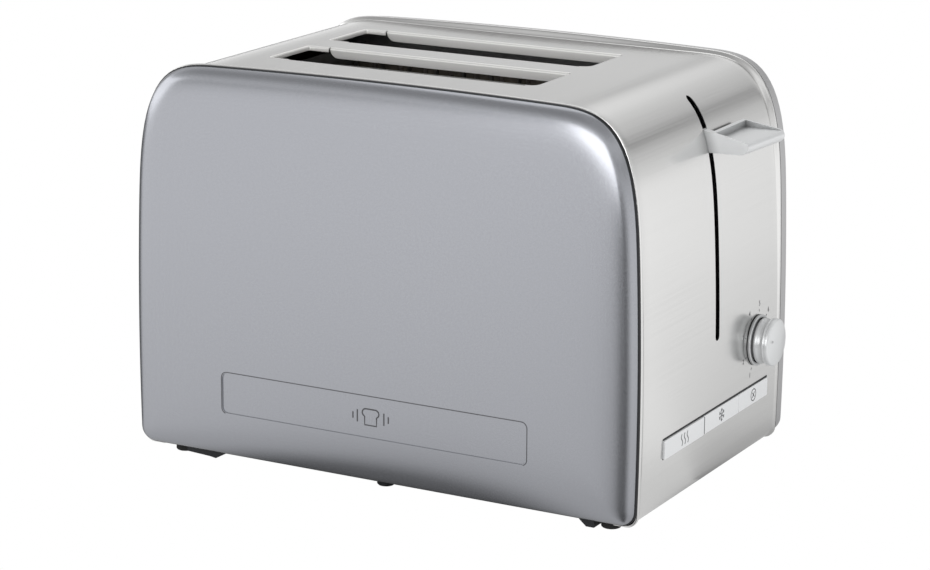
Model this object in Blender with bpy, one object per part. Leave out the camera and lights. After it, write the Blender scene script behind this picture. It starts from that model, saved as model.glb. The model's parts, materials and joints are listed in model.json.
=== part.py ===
"""A two-slot pop-up toaster, built as the separate pieces it is assembled from.

Lengths are written in millimetres and scaled to metres where a mesh is made. The body frame has x = 0
half way along the shell, y = 0 on the lever slit and z = 0 on the table. Every object hangs from one
empty, which moves the body frame so that the middle of the whole toaster's footprint is the origin.
+X points to the end with the lever, knob and keys, -Y to the front panel.
"""

import math

import bmesh
import bpy
from mathutils import Matrix, Vector

MM = 0.001
GAP = 0.3  # between pieces that rest on each other

# Outer shell
HALF_LENGTH = 135.0
SHELL_BOTTOM = 5.5
SHELL_TOP = 195.1
CORNER_LENGTH = 45.9  # the upper corner is a quarter of a superellipse, this long and this high
CORNER_HEIGHT = 75.9
CORNER_POWER = 3.81
BOTTOM_RADIUS = 5.5
BOW_CENTRE = 52.5  # the end walls lean in above and below this height
PANEL_BOW = 0.0213
WRAP_BOW = 0.0296
CROWN = 2.66  # rise of the panels' top edge at the middle
LIP = 0.3  # how far the wrap's rims stand outside the panels
WRAP_WALL = 0.8
WRAP_FRONT = -84.1
WRAP_REAR = 75.0
LIP_WIDTH = 1.9
CREASE_WIDTH = 1.7
FLANGE = 6.2  # hem turned in under the wrap's ends
PANEL_GAP = 0.6
FRONT_FACE = -93.4
REAR_FACE = 87.4
PANEL_WALL = 1.2
SKIRT_INSET = 1.5
SKIRT_DEPTH = 7.7
FRONT_ROLL = ((0.35, 0.0), (0.9, 0.27), (2.4, 0.57), (5.5, 0.8), (11.0, 0.93), (30.0, 1.0))  # inset, share
REAR_ROLL = ((0.35, 0.0), (0.6, 0.38), (1.1, 0.71), (2.4, 0.93), (6.0, 0.98), (30.0, 1.0))

# Bread slots
SLOT_LEFT, SLOT_RIGHT = -84.3, 60.5
SLOT_NEAR, SLOT_FAR = 9.3, 46.0  # distances of a slot's long edges from the slit plane
SLOT_MID = (SLOT_NEAR + SLOT_FAR) / 2
SLOT_CORNER = 2.0
FOLD_DEPTH = 8.5
FOLD_LEFT, FOLD_RIGHT = -72.0, 52.0

# Lever end
SLIT_WIDTH = 4.5
SLIT_LOW, SLIT_HIGH = 73.0, 188.5
KNOB_Y, KNOB_Z = 47.7, 61.8
KNOB_HOLE, KNOB_FACE = 11.9, 145.3
KEY_EDGES = ((-58.5, -14.9), (-14.5, 26.0), (26.4, 60.7))
KEY_LOW, KEY_HIGH = 30.6, 39.7
KEY_BELOW, KEY_ABOVE, KEY_BESIDE = 0.3, 0.7, 0.4  # clearances in the window
KEY_NAMES = ("reheat_key", "defrost_key", "stop_key")
KEY_PROUD = (0.9, 0.6, 0.6)

# Chassis and chamber
BASE_LOW, BASE_HIGH, BASE_REACH = 6.8, 9.8, 129.8
CHASSIS_LEFT, CHASSIS_RIGHT = -92.5, 69.0  # outer face of the left plate, inner face of the right plate
PLATE = 1.0
CHASSIS_HALF = 58.5
CHASSIS_TOP = 186.0
CHAMBER_LEFT = CHASSIS_LEFT + PLATE + GAP
CHAMBER_RIGHT = CHASSIS_RIGHT - GAP
REFLECTOR_Y = 56.0
MICA_LOW, MICA_HIGH, MICA = 38.0, 180.0, 0.8
MICA_NEAR, MICA_FAR = 4.5, 50.5
RIBBON_TURNS = 10
GUARD_NEAR, GUARD_FAR = 10.2, 45.2
GUARD_LOW, GUARD_HIGH, GUARD_WIRE = 44.0, 183.0, 1.6
WALLS = ("front_outer", "front_inner", "rear_inner", "rear_outer")  # of the two toasting places

# Lift: everything here slides along the guide rod, which leans out at the bottom like the end wall
TILT = math.radians(5.0)
ROD_FOOT_Z, ROD_HEAD_Z, ROD_RADIUS = 10.3, 186.1, 3.0
SLEEVE_X, SLEEVE_Z = 88.0, 150.0  # a point on the rod's axis
SLEEVE_DOWN, SLEEVE_UP, SLEEVE_RADIUS = 20.0, 10.0, 6.5
ARM_LOW, ARM_HIGH, ARM_WIDTH, ARM_END = 165.0, 171.0, 3.2, 111.7
NECK_WIDTH = 3.9  # the thumb piece's front wall runs on through the slit
LIFTER_TOP, LIFTER_PLATE = 145.0, 2.4
YOKE_LOW, YOKE_HALF = 136.0, 33.0
MAGNET_TOP = 47.6

# Crumb tray
TRAY_LOW, TRAY_HIGH, TRAY_WALL = 10.2, 17.7, 0.8
TRAY_LEFT, TRAY_RIGHT, TRAY_HALF = -132.6, 66.0, 49.0
TRAY_MOUTH = 19.0
PULL_LEFT = -138.6

# Board behind the keys
BOARD_X, BOARD = 112.0, 1.6
BOARD_TOP = 62.0

# Underside
FOOT_RADIUS, FOOT_EDGE = 4.8, 0.7
FOOT_PLACES = ((-117.0, -74.0), (117.0, -74.0), (-117.0, 64.0), (117.0, 64.0))
LEFT_HOOK = ((-111.5, 6.5), (-111.5, 1.7), (-98.4, 1.0), (-94.9, 0.5), (-90.0, 3.2), (-88.5, 6.5))
RIGHT_HOOK = ((102.5, 6.5), (103.9, 3.5), (107.4, 0.5), (111.5, 0.5), (111.5, 6.5))
HOOK_SHIFT, HOOK_HALF = 2.0, 5.0  # a block's middle stands this much further out than its foot
POST_X, POST_Y, POST_RADIUS, POST_LOW = -2.6, -73.8, 4.4, 0.5
SCREW_PLACES = ((-74.0, -62.5), (74.0, -62.5), (-74.0, 62.5), (74.0, 62.5))

# Reach of the whole toaster, which places the origin under its middle
HANDLE_TIP = 151.0
GLAND_FACE = 89.8
GLAND_X, GLAND_Z = 96.0, 26.0

SEGMENTS = 24


def remove_everything():
    for old in list(bpy.data.objects):
        bpy.data.objects.remove(old, do_unlink=True)


def make_frame():
    frame = bpy.data.objects.new("frame", None)
    frame.location = (-(HANDLE_TIP + PULL_LEFT) / 2 * MM, -(GLAND_FACE + FRONT_FACE) / 2 * MM, 0)
    bpy.context.scene.collection.objects.link(frame)
    return frame


def finish(name, colour, roughness, metallic=0.0):
    """The Principled material of this name, made on first use."""
    found = bpy.data.materials.get(name)
    if found:
        return found
    made = bpy.data.materials.new(name)
    made.use_nodes = True
    shader = made.node_tree.nodes["Principled BSDF"]
    shader.inputs["Base Color"].default_value = (*colour, 1.0)
    shader.inputs["Roughness"].default_value = roughness
    shader.inputs["Metallic"].default_value = metallic
    made.diffuse_color = (*colour, 1.0)
    return made


def steel():
    return finish("brushed_steel", (0.60, 0.60, 0.59), 0.32, 1.0)


def panel_paint():
    return finish("panel_paint", (0.42, 0.43, 0.46), 0.38, 0.6)


def silver_plastic():
    return finish("silver_plastic", (0.58, 0.60, 0.62), 0.4, 0.3)


def black_plastic():
    return finish("black_plastic", (0.015, 0.016, 0.018), 0.5)


def zinc_plate():
    return finish("zinc_plate", (0.50, 0.51, 0.52), 0.45, 1.0)


def mica():
    return finish("mica", (0.62, 0.56, 0.44), 0.6)


def place(name, mesh, material, pivot=(0, 0, 0), parent=None):
    """Links a bmesh, drawn in the body frame, as an object whose origin is its pivot."""
    pivot = Vector(pivot)
    mesh.normal_update()
    bmesh.ops.recalc_face_normals(mesh, faces=mesh.faces)
    mesh.transform(Matrix.Scale(MM, 4) @ Matrix.Translation(-pivot))
    data = bpy.data.meshes.new(name)
    mesh.to_mesh(data)
    mesh.free()
    data.materials.append(material)
    made = bpy.data.objects.new(name, data)
    made.location = pivot * MM
    made.parent = parent or FRAME
    bpy.context.scene.collection.objects.link(made)
    return made


def smooth(made, degrees=35.0):
    made.data.shade_smooth()
    made.data.set_sharp_from_angle(angle=math.radians(degrees))
    return made


def box(x, y, z):
    """A bmesh box between pairs of limits."""
    mesh = bmesh.new()
    bmesh.ops.create_cube(mesh, size=1.0)
    size = Matrix.Diagonal((x[1] - x[0], y[1] - y[0], z[1] - z[0], 1))
    middle = Vector(((x[0] + x[1]) / 2, (y[0] + y[1]) / 2, (z[0] + z[1]) / 2))
    mesh.transform(Matrix.Translation(middle) @ size)
    return mesh


def rounded_box(x, y, z, radius, axis, steps=2):
    """A box whose edges along one axis are rounded."""
    mesh = box(x, y, z)
    along = [e for e in mesh.edges if abs((e.verts[0].co - e.verts[1].co)[axis]) > 1e-6]
    bmesh.ops.bevel(mesh, geom=along, offset=radius, segments=steps, profile=0.5, affect="EDGES")
    return mesh


def prism(points, axis, low, high):
    """A polygon in the plane across an axis, extruded along it. Points follow the other two axes in order."""
    mesh = bmesh.new()
    others = [i for i in range(3) if i != axis]

    def at(point, along):
        corner = Vector((0, 0, 0))
        corner[axis] = along
        corner[others[0]], corner[others[1]] = point
        return mesh.verts.new(corner)

    rings = [[at(p, along) for p in points] for along in (low, high)]
    bridge(mesh, rings)
    return mesh


def bridge(mesh, rings, capped=True):
    """Joins closed rings of vertices one after another, and closes the two ends."""
    count = len(rings[0])
    for first, second in zip(rings, rings[1:]):
        for i in range(count):
            j = (i + 1) % count
            mesh.faces.new((first[i], first[j], second[j], second[i]))
    if capped:
        mesh.faces.new(rings[0])
        mesh.faces.new(rings[-1])


def turned(profile, axis=(0, 0, 1), origin=(0, 0, 0), segments=SEGMENTS):
    """A solid turned about an axis. The closed profile holds (radius, distance along the axis) pairs."""
    mesh = bmesh.new()
    turn = Vector((0, 0, 1)).rotation_difference(Vector(axis)).to_matrix().to_4x4()
    rings = []
    for step in range(segments):
        angle = 2 * math.pi * step / segments
        spoke = [mesh.verts.new((r * math.cos(angle), r * math.sin(angle), z)) for r, z in profile]
        rings.append(spoke)
    bridge(mesh, rings + [rings[0]], capped=False)
    mesh.transform(Matrix.Translation(origin) @ turn)
    return mesh


def cylinder(radius, low, high, axis=(0, 0, 1), origin=(0, 0, 0), segments=SEGMENTS):
    """A solid rod between two distances along an axis."""
    mesh = bmesh.new()
    bmesh.ops.create_cone(
        mesh, cap_ends=True, segments=segments, radius1=radius, radius2=radius, depth=high - low
    )
    turn = Vector((0, 0, 1)).rotation_difference(Vector(axis)).to_matrix().to_4x4()
    mesh.transform(Matrix.Translation(origin) @ turn @ Matrix.Translation((0, 0, (low + high) / 2)))
    return mesh


def lattice(columns, rows, keep, axis, low, high):
    """A flat plate with windows: the cells between grid lines that keep() wants, as one solid."""
    mesh = bmesh.new()
    others = [i for i in range(3) if i != axis]
    corners = {}

    def corner(c, r, along):
        if (c, r, along) not in corners:
            point = Vector((0, 0, 0))
            point[others[0]], point[others[1]], point[axis] = columns[c], rows[r], along
            corners[c, r, along] = mesh.verts.new(point)
        return corners[c, r, along]

    cells = {
        (c, r) for c in range(len(columns) - 1) for r in range(len(rows) - 1) if keep(c, r)
    }
    for c, r in sorted(cells):
        edge = ((c, r), (c + 1, r), (c + 1, r + 1), (c, r + 1))
        for along in (low, high):
            mesh.faces.new([corner(*e, along) for e in edge])
        beside = ((c, r - 1), (c + 1, r), (c, r + 1), (c - 1, r))
        for k, neighbour in enumerate(beside):
            if neighbour not in cells:
                a, b = edge[k], edge[(k + 1) % 4]
                mesh.faces.new((corner(*a, low), corner(*b, low), corner(*b, high), corner(*a, high)))
    return mesh


def combine(made, mesh, operation):
    """Adds or cuts another shape with an exact Boolean."""
    tool = place(f"{made.name}_tool_{len(made.modifiers)}", mesh, made.data.materials[0])
    tool.hide_render = True
    tool.display_type = "WIRE"
    modifier = made.modifiers.new(operation.lower(), "BOOLEAN")
    modifier.operation = operation
    modifier.object = tool
    return made


def cut(made, mesh):
    return combine(made, mesh, "DIFFERENCE")


def add(made, mesh):
    return combine(made, mesh, "UNION")


def spread(low, high, count):
    return [low + (high - low) * i / (count - 1) for i in range(count)]


def half_outline(inset, bow, crown, out=0.0):
    """Half of the shell's outline, from the foot of the +X end up to the top's middle, as (x, z) pairs."""
    reach = HALF_LENGTH - inset + out
    low, high = SHELL_BOTTOM + inset - out, SHELL_TOP - inset + out
    length, height = CORNER_LENGTH - inset, CORNER_HEIGHT - inset

    def leaning(x, z):
        return x * (1 - bow * ((z - BOW_CENTRE) / 100) ** 2), z

    points = []
    radius = max(BOTTOM_RADIUS - inset, 0.6)
    for step in range(4):
        angle = math.pi / 2 * step / 3
        x = reach - radius + radius * math.sin(angle)
        points.append(leaning(x, low + radius - radius * math.cos(angle)))
    points += [leaning(reach, z) for z in spread(low + radius, high - height, 4)[1:]]
    for step in range(1, 10):
        angle = math.pi / 2 * step / 9
        c, s = math.cos(angle), math.sin(angle)
        r = (c**CORNER_POWER + s**CORNER_POWER) ** (-1 / CORNER_POWER)
        x, z = leaning(reach - length + length * r * c, high - height + height * r * s)
        points.append((x, z + crown * (1 - (x / HALF_LENGTH) ** 2)))
    x, z = points[-1]
    level = z - crown * (1 - (x / HALF_LENGTH) ** 2)
    for share in (0.5, 0.0):
        points.append((x * share, level + crown * (1 - (x * share / HALF_LENGTH) ** 2)))
    return points


def mirrored(half):
    """The half outline and its mirror image, as one path over the top."""
    return half + [(-x, z) for x, z in reversed(half[:-1])]


def wrap_path(inset, bow, crown, out):
    half = half_outline(inset, bow, crown, out)
    x, z = half[0]
    return mirrored([(x - FLANGE, z)] + half)


def make_wrap():
    """The bent sheet over both ends and the top, with its rims, folded slot edges and openings."""
    rim, main = (PANEL_BOW, CROWN, LIP), (WRAP_BOW, 0.0, 0.0)
    stations = (
        (WRAP_FRONT, rim),
        (WRAP_FRONT + LIP_WIDTH, rim),
        (WRAP_FRONT + LIP_WIDTH + CREASE_WIDTH, main),
        (WRAP_REAR - LIP_WIDTH - CREASE_WIDTH / 2, main),
        (WRAP_REAR - LIP_WIDTH, rim),
        (WRAP_REAR, rim),
    )
    mesh = bmesh.new()
    loops = []
    for y, (bow, crown, out) in stations:
        outer = [mesh.verts.new((x, y, z)) for x, z in wrap_path(0.0, bow, crown, out)]
        inner = [mesh.verts.new((x, y, z)) for x, z in wrap_path(WRAP_WALL, bow, crown, out)]
        loops.append((outer, inner))
    count = len(loops[0][0])
    for (outer_a, inner_a), (outer_b, inner_b) in zip(loops, loops[1:]):
        for i in range(count - 1):
            mesh.faces.new((outer_a[i], outer_a[i + 1], outer_b[i + 1], outer_b[i]))
            mesh.faces.new((inner_a[i], inner_b[i], inner_b[i + 1], inner_a[i + 1]))
        for i in (0, count - 1):
            mesh.faces.new((outer_a[i], outer_b[i], inner_b[i], inner_a[i]))
    for outer, inner in (loops[0], loops[-1]):
        for i in range(count - 1):
            mesh.faces.new((outer[i], inner[i], inner[i + 1], outer[i + 1]))
    wrap = place("wrap_shell", mesh, steel())
    slot_z = (SHELL_TOP - 6, SHELL_TOP + 4)
    for side in (-1, 1):
        near, far = sorted((side * SLOT_NEAR, side * SLOT_FAR))
        cut(wrap, rounded_box((SLOT_LEFT, SLOT_RIGHT), (near, far), slot_z, SLOT_CORNER, 2))
    fold = (SHELL_TOP - FOLD_DEPTH, SHELL_TOP - 0.2)
    for y in (-SLOT_FAR, -SLOT_NEAR, SLOT_NEAR, SLOT_FAR):
        outward = 1 if (abs(y) == SLOT_FAR) == (y > 0) else -1
        sides = sorted((y - 0.1 * outward, y + 0.7 * outward))
        add(wrap, box((FOLD_LEFT, FOLD_RIGHT), sides, fold))
    cut_end_openings(wrap)
    return wrap


def cut_end_openings(wrap):
    """Slit, knob hole and key window at the +X end, and the crumb tray's mouth at the other."""
    end = (HALF_LENGTH - 25, HALF_LENGTH + 5)
    half = SLIT_WIDTH / 2
    slit = rounded_box(end, (-half, half), (SLIT_LOW, SLIT_HIGH), half * 0.98, 0, 4)
    cut(wrap, slit)
    cut(wrap, cylinder(KNOB_HOLE, *end, axis=(1, 0, 0), origin=(0, KNOB_Y, KNOB_Z)))
    window = (KEY_EDGES[0][0] - KEY_BESIDE, KEY_EDGES[-1][1] + KEY_BESIDE)
    cut(wrap, rounded_box(end, window, (KEY_LOW - KEY_BELOW, KEY_HIGH + KEY_ABOVE), 0.8, 0))
    mouth = (-TRAY_HALF - 1.5, TRAY_HALF + 1.5)
    cut(wrap, box((-HALF_LENGTH - 5, -HALF_LENGTH + 25), mouth, (TRAY_LOW - 0.5, TRAY_MOUTH)))


def panel_rings(mesh, rim, face, roll):
    """Rings of a pressed panel: rolled outside, skirt that goes inside the wrap, and the hollow back."""
    depth = face - rim
    inward = -1 if depth > 0 else 1
    skirt_end = rim + inward * SKIRT_DEPTH
    behind = -inward * PANEL_WALL
    face_shape, skirt_shape = (PANEL_BOW, CROWN), (WRAP_BOW, 0.0)
    within = SKIRT_INSET + PANEL_WALL
    plan = [(inset, rim + depth * share, face_shape) for inset, share in reversed(roll)]
    plan += [(SKIRT_INSET, rim + inward * 0.2, skirt_shape), (SKIRT_INSET, skirt_end, skirt_shape)]
    plan += [(within, skirt_end, skirt_shape), (within + 0.1, rim + depth * 0.35 - behind, skirt_shape)]
    plan += [(inset + PANEL_WALL, rim + depth * share - behind, face_shape) for inset, share in roll[3:]]
    rings = []
    for inset, y, (bow, crown) in plan:
        loop = mirrored(half_outline(inset, bow, crown))
        rings.append([mesh.verts.new((x, y, z)) for x, z in loop])
    return rings


def make_panel(name, rim, face, roll):
    mesh = bmesh.new()
    bridge(mesh, panel_rings(mesh, rim, face, roll))
    return smooth(place(name, mesh, panel_paint()), 40)


def make_panels():
    make_panel("front_panel", WRAP_FRONT - PANEL_GAP, FRONT_FACE, FRONT_ROLL)
    rear = make_panel("rear_panel", WRAP_REAR + PANEL_GAP, REAR_FACE, REAR_ROLL)
    hole = cylinder(6.4, REAR_FACE - 6, REAR_FACE + 6, axis=(0, 1, 0), origin=(GLAND_X, 0, GLAND_Z))
    cut(rear, hole)


def make_cord_gland():
    """Bushing in the rear panel that the supply cord would come through."""
    profile = ((2.9, -78.0), (6.0, -78.0), (6.0, -REAR_FACE - GAP), (8.5, -REAR_FACE - GAP))
    profile += ((8.2, -GLAND_FACE + 0.6), (7.2, -GLAND_FACE), (3.6, -GLAND_FACE), (3.6, -78.6))
    points = [(max(r, 3.6), -z) for r, z in profile]
    mesh = turned(points, axis=(0, 1, 0), origin=(GLAND_X, 0, GLAND_Z))
    bmesh.ops.remove_doubles(mesh, verts=mesh.verts, dist=0.01)
    smooth(place("cord_gland", mesh, black_plastic()))


def make_base():
    """Moulded floor of the toaster, with air slots beside the tray and holes for the chassis screws."""
    front = WRAP_FRONT - PANEL_GAP + SKIRT_DEPTH + GAP
    rear = WRAP_REAR + PANEL_GAP - SKIRT_DEPTH - GAP
    mesh = rounded_box((-BASE_REACH, BASE_REACH), (front, rear), (BASE_LOW, BASE_HIGH), 5.0, 2)
    base = place("base_plate", mesh, black_plastic())
    for x, y in SCREW_PLACES:
        cut(base, cylinder(2.0, BASE_LOW - 1, BASE_HIGH + 1, origin=(x, y, 0), segments=12))
    for x in spread(-50.0, 40.0, 7):
        for y in (-24.0, 24.0):
            cut(base, box((x - 2, x + 2), (y - 14, y + 14), (BASE_LOW - 1, BASE_HIGH + 1)))


def make_underside():
    """Rubber feet, cord-wrap blocks, the post at the front edge and the chassis screws."""
    rubber = finish("foot_rubber", (0.02, 0.02, 0.02), 0.8)
    top = BASE_LOW - GAP
    names = ("left_front", "right_front", "left_rear", "right_rear")
    for name, (x, y) in zip(names, FOOT_PLACES):
        foot = turned_solid(peg_profile(FOOT_RADIUS, 0.0, top), (x, y, 0), 20)
        smooth(place(f"{name}_foot", foot, rubber))
        middle = y + math.copysign(HOOK_SHIFT, y)
        wedge = LEFT_HOOK if x < 0 else RIGHT_HOOK
        hook = prism(wedge, 1, middle - HOOK_HALF, middle + HOOK_HALF)
        place(f"{name}_cord_hook", hook, black_plastic())
    post = turned_solid(peg_profile(POST_RADIUS, POST_LOW, top), (POST_X, POST_Y, 0), 20)
    smooth(place("front_post", post, black_plastic()))
    for name, (x, y) in zip(names, SCREW_PLACES):
        make_screw(f"{name}_screw", x, y)


def peg_profile(radius, low, high):
    """Profile of a short round peg with its lower edge broken."""
    edge = ((radius - FOOT_EDGE, low), (radius, low + FOOT_EDGE))
    return ((0.0, low), *edge, (radius, high), (0.0, high))


def turned_solid(profile, origin, segments=SEGMENTS):
    """A turned solid whose profile starts and ends on the axis."""
    mesh = bmesh.new()
    rings = []
    for step in range(segments):
        angle = 2 * math.pi * step / segments
        for_one = [(r * math.cos(angle), r * math.sin(angle), z) for r, z in profile[1:-1]]
        rings.append([mesh.verts.new(p) for p in for_one])
    count = len(profile) - 2
    for k in range(segments):
        first, second = rings[k], rings[(k + 1) % segments]
        for i in range(count - 1):
            mesh.faces.new((first[i], second[i], second[i + 1], first[i + 1]))
    mesh.faces.new([ring[0] for ring in rings])
    mesh.faces.new([ring[-1] for ring in rings])
    mesh.transform(Matrix.Translation(origin))
    return mesh


def make_screw(name, x, y):
    head, under, tip = 4.7, BASE_LOW - GAP, 15.0
    profile = ((0, head), (2.6, head), (3.4, head + 0.7), (3.4, under), (1.7, under), (1.7, tip), (0, tip))
    smooth(place(name, turned_solid(profile, (x, y, 0), 12), zinc_plate()))


def make_end_plate(name, x, low):
    """Chassis plate between the chamber and an end of the shell, with a slot for each bread lifter."""
    half = 4.0
    slots = [-SLOT_MID - half, -SLOT_MID + half, SLOT_MID - half, SLOT_MID + half]
    ys = [-CHASSIS_HALF, *slots, CHASSIS_HALF]
    zs = [low, 48.0, 160.0, CHASSIS_TOP]
    plate = lattice(ys, zs, lambda c, r: not (c in (1, 3) and r == 1), 0, x, x + PLATE)
    return place(name, plate, zinc_plate())


def make_chassis():
    """End plates and reflectors around the toasting chamber."""
    foot = BASE_HIGH + GAP
    left = make_end_plate("left_end_plate", CHASSIS_LEFT, foot)
    around = (CHASSIS_LEFT - 2, CHASSIS_LEFT + 4)
    cut(left, box(around, (-TRAY_HALF - 1, TRAY_HALF + 1), (foot - 2, TRAY_MOUTH + 0.5)))
    make_end_plate("right_end_plate", CHASSIS_RIGHT, foot)
    for name, side in (("front_reflector", -1), ("rear_reflector", 1)):
        lip, wall = side * (REFLECTOR_Y - 3.0), side * REFLECTOR_Y
        outer = side * (REFLECTOR_Y + 0.8)
        low, high = TRAY_MOUTH + 0.5, CHASSIS_TOP - 2
        bend = [(wall, low), (outer, low), (outer, high), (lip, high)]
        bend += [(lip, high - 0.8), (wall, high - 0.8)]
        place(name, prism(bend, 0, CHAMBER_LEFT, CHAMBER_RIGHT), zinc_plate())


def make_heaters():
    """Mica boards, each wound with one flat resistance ribbon."""
    ribbon = finish("heater_ribbon", (0.32, 0.29, 0.27), 0.5, 1.0)
    for name, y in zip(WALLS, (-MICA_FAR, -MICA_NEAR, MICA_NEAR, MICA_FAR)):
        sheet = box((CHAMBER_LEFT, CHAMBER_RIGHT), (y - MICA / 2, y + MICA / 2), (MICA_LOW, MICA_HIGH))
        place(f"{name}_heater_board", sheet, mica())
        place(f"{name}_heater_ribbon", wound_ribbon(y), ribbon)


def wound_ribbon(y):
    """A strip that winds round a board, up one face and down the other, as one closed solid."""
    inner, thick, half_width = MICA / 2 + GAP, 0.3, 1.0
    low, high = MICA_LOW - GAP, MICA_HIGH + GAP
    pitch = (CHAMBER_RIGHT - CHAMBER_LEFT - 14.0) / RIBBON_TURNS
    start = CHAMBER_LEFT + 7.0
    corners = ((-1, low), (-1, high), (1, high), (1, low))
    mesh = bmesh.new()
    rings = []
    for step in range(4 * RIBBON_TURNS):
        side, z = corners[step % 4]
        x = start + pitch * step / 4
        up = 1 if z == high else -1
        ring = []
        for shift, depth in ((-half_width, 0), (half_width, 0), (half_width, thick), (-half_width, thick)):
            ring.append(mesh.verts.new((x + shift, y + side * (inner + depth), z + up * depth)))
        rings.append(ring)
    bridge(mesh, rings)
    return mesh


def bars(low, high, count, width):
    """Grid lines for bars of one width, spread from edge to edge."""
    lines = []
    for centre in spread(low + width / 2, high - width / 2, count):
        lines += [centre - width / 2, centre + width / 2]
    return lines


def make_guards():
    """Four stamped wire guards, which hold a slice upright between them."""
    wire = finish("guard_wire", (0.45, 0.45, 0.46), 0.4, 1.0)
    columns = bars(CHAMBER_LEFT + 1, CHAMBER_RIGHT - 1, 11, GUARD_WIRE)
    rows = bars(GUARD_LOW, GUARD_HIGH, 2, GUARD_WIRE)
    for name, y in zip(WALLS, (-GUARD_FAR, -GUARD_NEAR, GUARD_NEAR, GUARD_FAR)):
        sides = (y - GUARD_WIRE / 2, y + GUARD_WIRE / 2)
        grid = lattice(columns, rows, lambda c, r: c % 2 == 0 or r != 1, 1, *sides)
        place(f"{name}_guard", grid, wire, pivot=(0, y, GUARD_LOW))


def rod_point(z):
    """The rod's axis at a height."""
    return Vector((SLEEVE_X - (z - SLEEVE_Z) * math.tan(TILT), 0, z))


def rod_axis():
    return Vector((-math.sin(TILT), 0, math.cos(TILT)))


def make_guide():
    """Rod that the carriage runs on, and the bracket that holds its head to the right end plate."""
    down = (ROD_FOOT_Z + 0.4 - SLEEVE_Z) / math.cos(TILT)
    up = (ROD_HEAD_Z - 0.4 - SLEEVE_Z) / math.cos(TILT)
    rod = cylinder(ROD_RADIUS, down, up, axis=rod_axis(), origin=rod_point(SLEEVE_Z), segments=20)
    smooth(place("guide_rod", rod, zinc_plate()))
    x = CHASSIS_RIGHT + PLATE + GAP
    top = ROD_HEAD_Z + GAP
    reach, drop, sheet = 24.0, 12.0, 1.2
    bend = [(x, top - drop), (x + sheet, top - drop), (x + sheet, top), (x + reach, top)]
    bend += [(x + reach, top + sheet), (x, top + sheet)]
    place("guide_bracket", prism(bend, 1, -9.0, 9.0), zinc_plate())


def make_carriage(lift):
    """Sleeve on the rod, yoke under the bread lifters and the arm that goes out through the slit."""
    axis, centre = rod_axis(), rod_point(SLEEVE_Z)
    sleeve = cylinder(SLEEVE_RADIUS, -SLEEVE_DOWN, SLEEVE_UP, axis=axis, origin=centre, segments=20)
    carriage = place("lift_carriage", sleeve, zinc_plate(), pivot=centre, parent=lift)
    yoke_top = LIFTER_TOP - LIFTER_PLATE - GAP
    add(carriage, box((73.8, 84.0), (-YOKE_HALF, YOKE_HALF), (YOKE_LOW, yoke_top)))
    half = ARM_WIDTH / 2
    add(carriage, box((90.0, ARM_END), (-half, half), (152.0, ARM_HIGH)))
    cut(carriage, box((100.0, ARM_END + 2), (-4, 4), (150.0, ARM_LOW)))
    bore = cylinder(ROD_RADIUS + 0.2, -SLEEVE_DOWN - 3, SLEEVE_UP + 14, axis=axis, origin=centre, segments=20)
    cut(carriage, bore)
    plate = box((76.0, 90.0), (-YOKE_HALF, -11.0), (YOKE_LOW - GAP - 3.0, YOKE_LOW - GAP))
    place("armature_plate", plate, zinc_plate(), pivot=centre, parent=lift)


def make_lifters(lift):
    """Stamped combs that carry the slices."""
    width, reach = 2.0, 6.0
    tines = spread(-74.0, 46.0, 6)
    columns = [-101.0]
    for x in tines:
        columns += [x - 1.5, x + 1.5]
    columns.append(83.0)
    for name, side in (("front", -1), ("rear", 1)):
        middle = side * SLOT_MID
        rows = [middle - reach, middle - width / 2, middle + width / 2, middle + reach]
        low = LIFTER_TOP - LIFTER_PLATE
        comb = lattice(columns, rows, lambda c, r: r == 1 or c % 2 == 1, 2, low, LIFTER_TOP)
        place(f"{name}_bread_lifter", comb, steel(), pivot=(SLEEVE_X, middle, LIFTER_TOP), parent=lift)


def make_handle(lift):
    """Thumb piece outside the slit: a shallow tray with a rolled outer edge, and its neck."""
    front, rear, flare = -NECK_WIDTH / 2, 35.0, 2.6
    inner = [(130.3, 163.1), (129.5, 172.9)]
    rolled = [(145.8, 170.0), (147.3, 169.4), (148.2, 168.3), (148.4, 166.8), (147.6, 165.0), (145.7, 163.7)]
    mesh = bmesh.new()
    rings = []
    for y, shift in ((front, 0.0), (rear, flare)):
        section = inner + [(x + shift, z) for x, z in rolled]
        rings.append([mesh.verts.new((x, y, z)) for x, z in section])
    bridge(mesh, rings)
    handle = place("lever_handle", mesh, silver_plastic(), parent=lift)
    cut(handle, box((131.4, HANDLE_TIP + 5), (-0.7, rear - 1.3), (169.4, 182.0)))
    start = ARM_END + GAP
    neck = [(start, ARM_LOW), (123.0, ARM_LOW), (124.5, 163.0), (131.0, 163.1), (131.0, 172.6)]
    neck += [(124.5, 173.8), (123.0, ARM_HIGH), (start, ARM_HIGH)]
    add(handle, prism(neck, 1, front, -front))


def make_spring():
    """Compression spring round the rod, from the base to the carriage."""
    turns, radius, wire, per_turn = 12, 7.0, 0.6, 10
    foot = rod_point(ROD_FOOT_Z + 1.6)
    head = rod_point(SLEEVE_Z) - rod_axis() * (SLEEVE_DOWN + 1.2)
    axis = rod_axis()
    side = Vector((0, 1, 0))
    across = axis.cross(side)
    mesh = bmesh.new()
    rings = []
    steps = turns * per_turn
    for step in range(steps + 1):
        angle = 2 * math.pi * step / per_turn
        outward = side * math.cos(angle) + across * math.sin(angle)
        centre = foot.lerp(head, step / steps) + outward * radius
        ring = [(wire, 0), (0, wire), (-wire, 0), (0, -wire)]
        rings.append([mesh.verts.new(centre + outward * a + axis * b) for a, b in ring])
    bridge(mesh, rings)
    smooth(place("lift_spring", mesh, zinc_plate(), pivot=foot), 100)


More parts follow.
